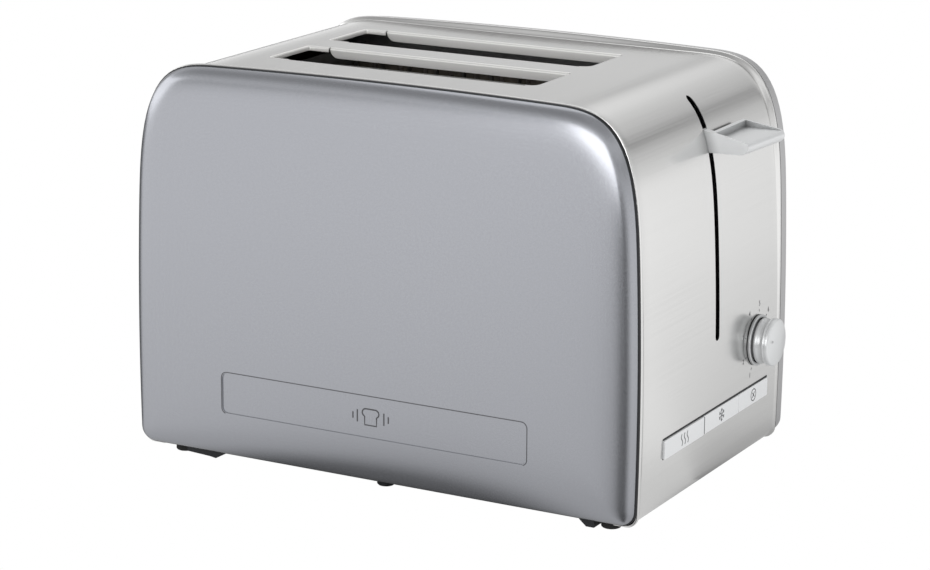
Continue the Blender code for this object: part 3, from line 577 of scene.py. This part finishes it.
def slot_end_rim(front, rear):
    """The left end of a slot, turned down all round between the two folds."""
    r, small = 0.9, SLOT_CORNER
    path = [(FOLD_LEFT - 0.3, rear, 90.0)]
    for y, first in ((rear - small, 90), (front + small, 180)):
        for angle in spread(first, first + 90, 9):
            a = math.radians(angle)
            path.append((SLOT_LEFT + small + small * math.cos(a), y + small * math.sin(a), angle))
    path.append((FOLD_LEFT - 0.3, front, 270.0))
    mesh = bmesh.new()
    rings = []
    for x, y, angle in path:
        out = Vector((math.cos(math.radians(angle)), math.sin(math.radians(angle))))
        section = arc((0.15, SHELL_TOP - r + 0.04), r, 90, 180, 6)
        section += [(0.15 - r, SHELL_TOP - 2.2), (0.55 - r, SHELL_TOP - 2.2), (0.55 - r, SHELL_TOP - 1.0)]
        section += [(0.15, SHELL_TOP - 0.5)]
        rings.append([mesh.verts.new((x + out.x * s, y + out.y * s, z)) for s, z in section])
    bridge(mesh, rings)
    return mesh


# ---------------------------------------------------------------- panels


def share(inset, roll):
    """Share of a pressed panel's depth reached at a distance in from its edge."""
    reach, power = roll
    return 1 - math.exp(-((max(inset - PANEL_EDGE, 0.0) / reach) ** power))


def panel_mesh(rim, face, roll, foot):
    """A pressed panel: pillow front, rolled edge, skirt inside the wrap and a hollow back."""
    depth = face - rim
    inward = -1 if depth > 0 else 1
    insets = [40.0, 36.0, 32.0, 28.0, 25.0, 22.0, 19.5, 17.0, 15.0, 13.0, 11.0, 9.5, 8.2, 7.0, 6.0]
    insets += [5.1, 4.3, 3.6, 3.0, 2.5, 2.1, 1.75, 1.45, 1.2, 1.0, 0.82, 0.68, 0.56, 0.47, 0.4, PANEL_EDGE]
    shape = (PANEL_BOW, CROWN)
    plan = [(i, rim + depth * share(i, roll), shape) for i in insets]
    skirt = (WRAP_BOW, 0.0)
    end = rim + inward * SKIRT_DEPTH
    within = SKIRT_INSET + PANEL_WALL
    plan += [(SKIRT_INSET, rim + inward * 0.3, skirt), (SKIRT_INSET, end, skirt), (within, end, skirt)]
    plan += [(within + 0.1, rim + depth * 0.3 + inward * PANEL_WALL, skirt)]
    behind = rim + inward * PANEL_WALL
    plan += [(i + PANEL_WALL, behind + depth * share(i, roll), shape) for i in (5.1, 11.0, 27.0)]
    mesh = bmesh.new()
    rings = []
    for inset, y, (bow, crown) in plan:
        loop = full_outline(inset, bow, crown, foot=foot)
        rings.append([mesh.verts.new((x, y, z)) for x, z in loop])
    bridge(mesh, rings)
    return mesh


def label_cutter():
    """What the label field is pressed with: a flat rounded bar with sloping sides."""
    across, up = (-LABEL_HALF, LABEL_HALF), (LABEL_LOW, LABEL_HIGH)
    bar = rounded_box(across, (FRONT_FACE - 2, FRONT_FACE + LABEL_DEPTH), up, LABEL_RADIUS, 1, 8)
    for v in bar.verts:
        if v.co.y > FRONT_FACE:
            v.co.x -= math.copysign(LABEL_SLOPE, v.co.x)
            v.co.z -= math.copysign(LABEL_SLOPE, v.co.z - LABEL_MIDDLE)
    return bar


def gland_hole():
    """A cylinder through the rear panel for the cord bushing."""
    low, high = local_box("cord_gland")
    near, far = REAR_FACE - 8, REAR_FACE + 8
    span = ((0, near), (GLAND_HOLE, near), (GLAND_HOLE, far), (0, far))
    return turned(span, (0, 1, 0), ((low.x + high.x) / 2, 0, (low.z + high.z) / 2), 64)


def make_panels():
    """Front panel with its label field, and rear panel with the hole for the cord bushing."""
    mesh = panel_mesh(WRAP_FRONT - PANEL_GAP, FRONT_FACE, FRONT_ROLL, FRONT_BOTTOM_RADIUS)
    front = place("pressed_front_panel", carved(mesh, [label_cutter()]), "housing", "panel_paint", 30)
    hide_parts("front_panel")
    mesh = panel_mesh(WRAP_REAR + PANEL_GAP, REAR_FACE, REAR_ROLL, BOTTOM_RADIUS)
    rear = place("pressed_rear_panel", carved(mesh, [gland_hole()]), "housing", "rear_paint", 30)
    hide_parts("rear_panel")


def make_seals():
    """Black seal strip that paints the shade in the joint between each panel and the wrap; the front one
    reaches over the panel's rolled edge and shows all round as a painted shade band.
    """
    plans = (
        ("front_seal_shade", WRAP_FRONT, 1, FRONT_SEAL_SHADE, FRONT_BOTTOM_RADIUS),
        ("rear_seal_shade", WRAP_REAR, -1, REAR_SEAL_SHADE, BOTTOM_RADIUS),
    )
    for name, rim, inward, section, foot in plans:
        mesh = bmesh.new()
        rings = []
        for inset, y in section:
            loop = full_outline(inset, PANEL_BOW, CROWN, foot=foot)
            rings.append([mesh.verts.new((x, rim + inward * y, z)) for x, z in loop])
        bridge(mesh, rings + [rings[0]], capped=False)
        place(name, mesh, "housing", "black_plastic", 40)


# ---------------------------------------------------------------- lever, knob, keys


def make_handle():
    """Tray-shaped thumb piece with a rolled outer edge; its front wall runs through the slit."""
    low, high = local_box("lever_handle")
    front, rear, flare = low.y, high.y, 2.6
    tip = high.x - flare
    root = [(130.3, 163.1), (129.5, 172.9)]
    rolled_edge = arc((tip - 3.0, 167.0), 2.95, 72, -35, 10)
    tray = [(145.0, 170.1)] + rolled_edge + [(tip - 2.0, 164.0), (tip - 3.2, 163.6)]
    mesh = bmesh.new()
    rings = []
    for y, shift in ((front, 0.0), (rear, flare)):
        section = root + [(x + shift, z) for x, z in tray]
        rings.append([mesh.verts.new((x, y, z)) for x, z in section])
    bridge(mesh, rings)
    well = box((131.4, high.x + 5), (-0.7, rear - 1.3), (169.4, 182.0))
    neck = [(low.x, 165.0), (123.0, 165.0), (124.5, 163.05), (131.0, 163.15), (131.0, 172.55)]
    neck += [(124.5, 173.7), (123.0, 171.0), (low.x, 171.0)]
    shape = carved(carved(mesh, [well]), [prism(neck, 1, front, -front)], "UNION")
    handle = place("thumb_lever", shape, "lift", "silver_plastic", 35)
    bevel(handle, 0.35)
    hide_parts("lever_handle")


def make_knob():
    """Fixed collar and the turning knob with its flange, waist, bead and notch."""
    axis, centre = (1, 0, 0), (0, KNOB_Y, KNOB_Z)
    ring = [(10.8, 131.0), (11.6, 131.0), (11.6, 135.25), (12.5, 135.25)]
    ring += arc((12.1, 136.1), 0.5, 0, 90, 5) + [(11.2, 136.6), (10.8, 136.2)]
    collar = place("knob_ring", turned(ring, axis, centre), "housing", "silver_plastic", 30)
    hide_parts("knob_collar")
    cap = local_box("browning_knob")[1].x
    shaft = [(0.0, 132.0), (10.25, 132.0), (10.25, 137.15)]
    flange = [(10.9, 137.3), (11.2, 137.6), (11.3, 138.1), (11.25, 138.7)]
    waist = [(10.95, 139.3), (10.7, 139.9), (10.62, 140.6), (10.7, 141.2), (11.0, 141.7)]
    bead = [(11.5, 142.0), (11.62, 142.3), (11.5, 142.6), (11.5, 143.3), (11.64, 143.5)]
    face = [(11.64, cap - 1.0), (11.5, cap - 0.6), (11.1, cap - 0.2), (10.7, cap), (0.0, cap)]
    notch = rounded_box((cap - 0.16, cap + 1), (-0.55, 0.55), (5.0, 8.2), 0.5, 0, 5)
    notch.transform(Matrix.Translation(centre) @ Matrix.Rotation(-math.radians(NOTCH_CLOCK), 4, "X"))
    body = turned(shaft + flange + waist + bead + face, axis, centre)
    bmesh.ops.dissolve_limit(body, angle_limit=math.radians(0.1), verts=body.verts[:], edges=body.edges[:])
    knob = place("dial_knob", carved(body, [notch]), "knob", "silver_plastic", 30)
    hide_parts("browning_knob")


def make_keys():
    """Push keys with rounded edges, each with a printed sign; the second has a dark line of painted shade
    along its edge by the first, for the shaded gap between them.
    """
    signs = (wave_sign(), flake_sign(), stop_sign())
    for name, sign in zip(KEY_NAMES, signs):
        low, high = local_box(name)
        cap = rounded_box((KEY_BACK - 0.4, high.x), (low.y, high.y), (low.z, high.z), 0.7, 0, 5)
        middle = (low + high) / 2
        stem = box((low.x, KEY_BACK), (middle.y - 2.5, middle.y + 2.5), (middle.z - 2, middle.z + 2))
        key = place(f"push_{name}", carved(cap, [stem], "UNION"), f"{name}_body", "key_plastic", 30)
        bevel(key, 0.3)
        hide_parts(name)
        onto = lambda u, v: (high.x, middle.y + u, middle.z + v)
        meshes = [print_mesh(stroke, onto, (1, 0, 0)) for stroke in sign]
        # Painted shade: a dark print along the second key's edge, where the gap to the first key is in
        # shade.
        if name == KEY_NAMES[1]:
            edge = (low.y + 0.05, low.y + 0.8)
            meshes.append(box((high.x, high.x + PRINT_THICK), edge, (low.z + 0.3, high.z - 0.3)))
        place(f"{name}_sign", joined(meshes), f"{name}_body", "print_ink", 30)


def make_key_surround():
    """Black pieces that paint the shade inside the key window, above and beside the keys and in the gap
    between the first two.
    """
    low, high = key_window()
    first_low, first_high = local_box(KEY_NAMES[0])
    second_low = local_box(KEY_NAMES[1])[0]
    back, skin = KEY_BACK, HALF_LENGTH
    gap = (first_high.y + 0.06, second_low.y - 0.06)
    top = box((back, skin + 0.06), (low.y + 0.1, high.y - 0.1), (first_high.z + 0.08, high.z + 0.2))
    side = box((back, skin - 0.75), (low.y + 0.05, first_low.y - 0.08), (low.z + 0.1, high.z - 0.05))
    between = box((back, skin + 0.1), gap, (low.z + 0.4, first_high.z))
    place("key_window_shade", joined([top, side, between]), "housing", "black_plastic", 30)


# ---------------------------------------------------------------- prints


def ribbon(points, width, closed=False):
    """A line of one width as two edges, from its middle points."""
    count = len(points)
    left, right = [], []
    for i, point in enumerate(points):
        before = points[(i - 1) % count] if closed or i else point
        after = points[(i + 1) % count] if closed or i < count - 1 else point
        along = Vector((after[0] - before[0], after[1] - before[1])).normalized()
        across = Vector((-along.y, along.x)) * width / 2
        left.append((point[0] + across.x, point[1] + across.y))
        right.append((point[0] - across.x, point[1] - across.y))
    return left, right, closed


def print_mesh(stroke, onto, normal, thick=PRINT_THICK):
    """A printed line: a very thin closed ribbon just proud of a surface."""
    left, right, closed = stroke
    lift = Vector(normal)
    mesh = bmesh.new()
    rings = []
    for a, b in zip(left, right):
        low_a, low_b = Vector(onto(*a)) + lift * PRINT_LIFT, Vector(onto(*b)) + lift * PRINT_LIFT
        corners = (low_a, low_b, low_b + lift * thick, low_a + lift * thick)
        rings.append([mesh.verts.new(c) for c in corners])
    bridge(mesh, rings + ([rings[0]] if closed else []), capped=not closed)
    return mesh


def wave_sign():
    """Three rising heat waves."""
    lines = []
    for shift in (-3.2, 0.0, 3.2):
        points = [(shift + 0.8 * math.sin(t * 2 * math.pi), -2.8 + 5.6 * t) for t in spread(0, 1, 25)]
        lines.append(ribbon(points, 0.55))
    return lines


def flake_sign():
    """Six-armed snow crystal."""
    lines = []
    for arm in range(6):
        a = math.radians(60 * arm + 30)
        ray = Vector((math.cos(a), math.sin(a)))
        side = Vector((-ray.y, ray.x))
        lines.append(ribbon([tuple(ray * r) for r in (0.3, 3.2)], 0.45))
        for turn in (-1, 1):
            barb = [tuple(ray * 1.9), tuple(ray * 2.7 + side * turn * 0.9)]
            lines.append(ribbon(barb, 0.4))
    return lines


def stop_sign():
    """A ring with a cross in it."""
    ring = [(2.9 * math.cos(a), 2.9 * math.sin(a)) for a in spread(0, 2 * math.pi, 41)[:-1]]
    strokes = [ribbon([(-1.3, -side * 1.3), (1.3, side * 1.3)], 0.5) for side in (1, -1)]
    return [ribbon(ring, 0.5, True)] + strokes


def slice_sign():
    """A slice of bread between pairs of short bars, for the middle of the label field."""
    crust = arc((-2.6, 2.0), 1.9, 250, 90, 10) + arc((2.6, 2.0), 1.9, 90, -70, 10)
    lines = [ribbon(crust + [(3.2, -4.0), (-3.2, -4.0)], 0.7, True)]
    for side in (-1, 1):
        for out, half in ((7.2, 3.0), (9.6, 1.6)):
            lines.append(ribbon([(side * out, -half), (side * out, half)], 0.7))
    return lines


def panel_point(u, v):
    """A point of the label field's flat drawing laid on the pressed front."""
    rim, z = WRAP_FRONT - PANEL_GAP, LABEL_MIDDLE + v
    depth = (FRONT_FACE - rim) * share(z - local_box("front_panel")[0].z, FRONT_ROLL)
    return (u, rim + depth, z)


def make_label():
    """The printed slice in the field, and a dark line of painted shade round its ends and top, where the
    pressed field's sloping wall is in shade.
    """
    r, outward = LABEL_RADIUS, (0, -1, 0)
    across, up = LABEL_HALF - r, (LABEL_HIGH - LABEL_LOW) / 2 - r
    edge = arc((-across, -up), r, 250, 180, 5) + arc((-across, up), r, 180, 90, 6)
    edge += arc((across, up), r, 90, 0, 6) + arc((across, -up), r, 0, -70, 5)
    onto = lambda u, v: (u, FRONT_FACE + LABEL_DEPTH, LABEL_MIDDLE + v)
    meshes = [print_mesh(stroke, onto, outward) for stroke in slice_sign()]
    # Painted shade: a dark ink line on the panel round the label field, for the shade of its recess wall.
    meshes.append(print_mesh(ribbon(edge, 0.4), panel_point, outward, SHADE_EDGE_THICK))
    place("label_sign", joined(meshes), "housing", "print_ink", 30)


def dial_point(u, v):
    """A point of the dial's flat drawing laid on the bowed end wall."""
    z = KNOB_Z + v
    return (end_wall(z), KNOB_Y + u, z)


def digit_mesh(digit, size):
    """A digit of Blender's own font as a mesh in the (u, v) plane."""
    curve = bpy.data.curves.new("digit", "FONT")
    curve.body = str(digit)
    curve.size = size
    curve.align_x, curve.align_y = "CENTER", "CENTER"
    curve.extrude = 0.02
    writer = link("digit", curve)
    bpy.context.view_layer.update()
    data = bpy.data.meshes.new_from_object(writer.evaluated_get(bpy.context.evaluated_depsgraph_get()))
    mesh = bmesh.new()
    mesh.from_mesh(data)
    bpy.data.objects.remove(writer, do_unlink=True)
    bpy.data.meshes.remove(data)
    bmesh.ops.remove_doubles(mesh, verts=mesh.verts, dist=0.0001)
    return mesh


def make_dial():
    """Browning numbers and their ticks round the knob."""
    meshes = []
    for number, clock in enumerate(DIAL_CLOCKS, 1):
        a = math.radians(clock)
        outward = Vector((math.sin(a), math.cos(a)))
        digit = digit_mesh(number, DIGIT_HEIGHT)
        for v in digit.verts:
            x, y, z = dial_point(v.co.x + outward.x * DIGIT_CIRCLE, v.co.y + outward.y * DIGIT_CIRCLE)
            v.co = Vector((x + 0.03 + v.co.z, y, z))
        meshes.append(digit)
        tick = ribbon([tuple(outward * TICK_START), tuple(outward * TICK_END)], 0.45)
        meshes.append(print_mesh(tick, dial_point, (1, 0, 0)))
    place("dial_numbers", joined(meshes), "housing", "print_ink", 30)


# ---------------------------------------------------------------- small parts


def make_gland():
    """Bushing with a rounded rim and a bore, where the cord would come out."""
    low, high = local_box("cord_gland")
    centre = (low + high) / 2
    face = REAR_FACE + 0.3
    profile = [(3.6, low.y), (6.0, low.y), (6.0, face), (8.5, face), (8.45, high.y - 1.2)]
    profile += [(8.1, high.y - 0.5), (7.4, high.y), (4.6, high.y), (3.9, high.y - 0.3), (3.6, high.y - 0.9)]
    shape = turned(profile, (0, 1, 0), (centre.x, 0, centre.z), 64)
    gland = place("cord_bushing", shape, "housing", "black_plastic", 35)
    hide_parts("cord_gland")


def make_feet():
    """Rubber feet with a rounded tread and a moulded waist."""
    for corner in ("left_front", "right_front", "left_rear", "right_rear"):
        low, high = local_box(f"{corner}_foot")
        centre = (low + high) / 2
        r = (high.x - low.x) / 2
        profile = [(0, 0.35), (r * 0.45, 0.35), (r * 0.55, 0.0), (r - 1.2, 0.0)]
        profile += arc((r - 1.0, 1.0), 1.0, -80, 0, 6)
        profile += [(r - 0.1, 2.6), (r - 0.4, 3.2), (r - 0.4, 3.9), (r, 4.4), (r, high.z), (0, high.z)]
        shape = turned(profile, origin=(centre.x, centre.y, 0), segments=64)
        foot = place(f"{corner}_rubber_foot", shape, "housing", "foot_rubber", 40)
        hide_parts(f"{corner}_foot")


def make_spring():
    """The lift spring as a fine round wire in one fixed shape; the real one shortens as the lever goes down.
    """
    tilt = math.radians(ROD_TILT)
    axis, side = Vector((-math.sin(tilt), 0, math.cos(tilt))), Vector((0, 1, 0))
    rod = lambda z: Vector((ROD_X - (z - ROD_Z) * math.tan(tilt), 0, z))
    foot, head = rod(SPRING_FOOT), rod(ROD_Z) - axis * SPRING_HEAD_GAP
    across = axis.cross(side)
    per_turn = 36
    around = [2 * math.pi * k / 8 for k in range(8)]
    mesh = bmesh.new()
    rings = []
    for step in range(SPRING_TURNS * per_turn + 1):
        a = 2 * math.pi * step / per_turn
        outward = side * math.cos(a) + across * math.sin(a)
        centre = foot.lerp(head, step / (SPRING_TURNS * per_turn)) + outward * SPRING_RADIUS
        offsets = [outward * math.cos(c) + axis * math.sin(c) for c in around]
        rings.append([mesh.verts.new(centre + SPRING_WIRE * offset) for offset in offsets])
    bridge(mesh, rings)
    spring = place("coil_spring", mesh, "housing", "zinc_plate", 60)
    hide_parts("lift_spring")
    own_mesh(spring)


# Edge radii of CAD nodes
HOOK_EDGE = 0.6
SOFTENED = {
    "front_post": 0.3, "crumb_tray_pull": 0.8, "base_plate": 0.4, "mains_switch": 0.4, "lift_carriage": 0.25,
}


def dress_cad_nodes():
    """Procedural finishes and softened edges for the CAD nodes that show as they are."""
    slots = {row["node"]: row["material_slot"] for row in frame["record"]["subparts"]}
    for name, node in frame["nodes"].items():
        node.data.materials.clear()
        node.data.materials.append(MATERIALS[slots[name]])
        width = SOFTENED.get(name, HOOK_EDGE if name.endswith("_hook") else 0.0)
        if width:
            bevel(node, width)


# ---------------------------------------------------------------- stage


CAMERA_AZIMUTH, CAMERA_ELEVATION, CAMERA_ROLL = 28.65, 14.724, 0.377
CAMERA_DISTANCE, CAMERA_FOCAL_PIXELS, FRAME_WIDTH = 1.4605, 2986.9, 930
CAMERA_TARGET = Vector((2.14, -5.38, 83.80)) * MM + ORIGIN
SENSOR_WIDTH = 36.0

# Painted shadow on the glowing floor as reflections see it: greys by distance from the toaster's middle in
# metres, and dimmed in fans of painted shade that each spread from a point towards an azimuth, by how
# closely they are faced
FLOOR_GLOW_STRENGTH = 1.35
FLOOR_SHADOW_STOPS = ((0.10, 0.12), (0.15, 0.60), (0.20, 0.76), (0.26, 0.80), (0.42, 0.87), (0.70, 0.97))
FLOOR_SHADE_FANS = (
    ((0.135, 0.0, 0.0), 210.0, ((0.42, 1.0), (0.56, 0.82), (0.70, 0.72), (0.87, 0.62))),
    ((-0.13, -0.075, 0.0), -122.0, ((0.66, 1.0), (0.88, 0.08))),
    ((0.125, -0.085, 0.0), 25.0, ((0.58, 1.0), (0.78, 0.70), (0.90, 0.38), (0.97, 0.10))),
)

# Greys of the room: by height from the horizon up, and dimmed round some (azimuth, elevation) directions
WORLD_STRENGTH = 1.25
WORLD_STOPS = ((0.0, 0.86), (0.13, 0.76), (0.24, 0.38), (0.34, 0.72), (0.50, 0.86), (0.85, 0.48))
DARK_CARDS = (
    ((-138.0, 16.0), ((0.955, 1.0), (0.995, 0.85))),
    ((172.0, 8.0), ((0.88, 1.0), (0.97, 0.72))),
    ((-55.0, 50.0), ((0.78, 1.0), (0.94, 0.75))),
)

# Name, azimuth, elevation, distance and size in metres, power
LIGHTS = (
    ("overhead", -158, 55, 1.6, (1.0, 0.8), 2.5),
    ("left_card", -75, 14, 1.6, (1.4, 0.8), 6),
    ("camera_fill", 5, 12, 1.7, (1.4, 0.9), 13),
)


def direction(azimuth, elevation):
    """Unit vector; azimuth 0 is in front of the front panel and 90 beside the lever end."""
    a, e = math.radians(azimuth), math.radians(elevation)
    return Vector((math.sin(a) * math.cos(e), -math.cos(a) * math.cos(e), math.sin(e)))


def grey_ramp(nodes, stops):
    """A smooth ramp through (position, grey) stops."""
    ramp = nodes.new("ShaderNodeValToRGB")
    ramp.color_ramp.interpolation = "EASE"
    while len(ramp.color_ramp.elements) < len(stops):
        ramp.color_ramp.elements.new(0.5)
    for element, (position, value) in zip(ramp.color_ramp.elements, stops):
        element.position = position
        element.color = (value, value, value, 1)
    return ramp


def make_camera():
    """Long lens at the photograph's angle, aimed near the middle of the toaster."""
    back, right = direction(CAMERA_AZIMUTH, CAMERA_ELEVATION), direction(CAMERA_AZIMUTH + 90, 0)
    up = back.cross(right)
    data = bpy.data.cameras.new("camera")
    data.sensor_width = SENSOR_WIDTH
    data.lens = CAMERA_FOCAL_PIXELS / FRAME_WIDTH * SENSOR_WIDTH
    data.clip_end = 20
    camera = link("camera", data)
    turn = Matrix((right, up, back)).transposed().to_4x4()
    roll = Matrix.Rotation(math.radians(CAMERA_ROLL), 4, "Z")
    camera.matrix_world = Matrix.Translation(CAMERA_TARGET + back * CAMERA_DISTANCE) @ turn @ roll
    bpy.context.scene.camera = camera


def make_floor():
    """White table, much wider than the view."""
    mesh = bmesh.new()
    bmesh.ops.create_grid(mesh, x_segments=2, y_segments=2, size=8.0)
    data = bpy.data.meshes.new("floor")
    mesh.to_mesh(data)
    mesh.free()
    floor = link("floor", data)
    data.materials.append(floor_paper())


def floor_paper():
    """Floor that glows evenly white to the camera; in reflections it glows with painted shadow near the
    toaster and painted shade in fans, and it is clear from below.
    """
    made, nodes, links, shader = new_material("floor_paper")
    nodes.remove(shader)
    spot = nodes.new("ShaderNodeTexCoord").outputs["Object"]
    far = nodes.new("ShaderNodeVectorMath")
    far.operation = "LENGTH"
    links.new(spot, far.inputs[0])
    ring = grey_ramp(nodes, FLOOR_SHADOW_STOPS)
    links.new(far.outputs["Value"], ring.inputs["Fac"])
    colour = ring.outputs["Color"]
    for tip, azimuth, stops in FLOOR_SHADE_FANS:
        away = nodes.new("ShaderNodeVectorMath")
        away.operation = "SUBTRACT"
        away.inputs[1].default_value = tip
        links.new(spot, away.inputs[0])
        unit = nodes.new("ShaderNodeVectorMath")
        unit.operation = "NORMALIZE"
        links.new(away.outputs["Vector"], unit.inputs[0])
        colour = dimmed(nodes, links, colour, unit.outputs["Vector"], direction(azimuth, 0), stops)
    painted_glow, white = nodes.new("ShaderNodeEmission"), nodes.new("ShaderNodeEmission")
    painted_glow.inputs["Strength"].default_value = FLOOR_GLOW_STRENGTH
    links.new(colour, painted_glow.inputs["Color"])
    mix, path = nodes.new("ShaderNodeMixShader"), nodes.new("ShaderNodeLightPath")
    links.new(path.outputs["Is Camera Ray"], mix.inputs["Fac"])
    links.new(painted_glow.outputs["Emission"], mix.inputs[1])
    links.new(white.outputs["Emission"], mix.inputs[2])
    clear, side = nodes.new("ShaderNodeBsdfTransparent"), nodes.new("ShaderNodeNewGeometry")
    below = nodes.new("ShaderNodeMixShader")
    links.new(side.outputs["Backfacing"], below.inputs["Fac"])
    links.new(mix.outputs["Shader"], below.inputs[1])
    links.new(clear.outputs["BSDF"], below.inputs[2])
    links.new(below.outputs["Shader"], nodes["Material Output"].inputs["Surface"])
    made.cycles.emission_sampling = "NONE"
    return made


def dimmed(nodes, links, colour, vector, toward, stops):
    """A colour multiplied by a ramp over how closely a vector points one way."""
    dot = nodes.new("ShaderNodeVectorMath")
    dot.operation = "DOT_PRODUCT"
    dot.inputs[1].default_value = toward
    links.new(vector, dot.inputs[0])
    card = grey_ramp(nodes, stops)
    links.new(dot.outputs["Value"], card.inputs["Fac"])
    product = nodes.new("ShaderNodeMix")
    product.data_type, product.blend_type = "RGBA", "MULTIPLY"
    product.inputs["Factor"].default_value = 1.0
    links.new(colour, product.inputs["A"])
    links.new(card.outputs["Color"], product.inputs["B"])
    return product.outputs["Result"]


def area_light(name, azimuth, elevation, distance, size, power):
    """A soft oblong light that faces the toaster."""
    out = direction(azimuth, elevation)
    data = bpy.data.lights.new(name, "AREA")
    data.shape = "RECTANGLE"
    data.size, data.size_y = size
    data.energy = power
    lamp = link(name, data)
    lamp.location = Vector((0, 0, 0.1)) + out * distance
    lamp.rotation_euler = out.to_track_quat("Z", "Y").to_euler()


def make_world():
    """Pale studio: bright horizon, a darker band above it, bright higher up and darker overhead."""
    world = bpy.data.worlds.new("studio")
    bpy.context.scene.world = world
    world.use_nodes = True
    nodes, links = world.node_tree.nodes, world.node_tree.links
    background = nodes["Background"]
    coordinates = nodes.new("ShaderNodeTexCoord")
    split = nodes.new("ShaderNodeSeparateXYZ")
    links.new(coordinates.outputs["Generated"], split.inputs["Vector"])
    ramp = grey_ramp(nodes, WORLD_STOPS)
    links.new(split.outputs["Z"], ramp.inputs["Fac"])
    colour = ramp.outputs["Color"]
    for (azimuth, elevation), stops in DARK_CARDS:
        toward = direction(azimuth, elevation)
        colour = dimmed(nodes, links, colour, coordinates.outputs["Generated"], toward, stops)
    links.new(colour, background.inputs["Color"])
    background.inputs["Strength"].default_value = WORLD_STRENGTH


def make_stage():
    """Table, room and lights."""
    make_floor()
    make_world()
    for row in LIGHTS:
        area_light(*row)
    bpy.context.scene.view_settings.view_transform = "Standard"


MATERIALS = build_materials()
make_camera()
make_stage()
make_wrap()
make_folds()
make_panels()
make_seals()
make_handle()
make_knob()
make_keys()
make_key_surround()
make_label()
make_dial()
make_gland()
make_feet()
make_spring()
dress_cad_nodes()
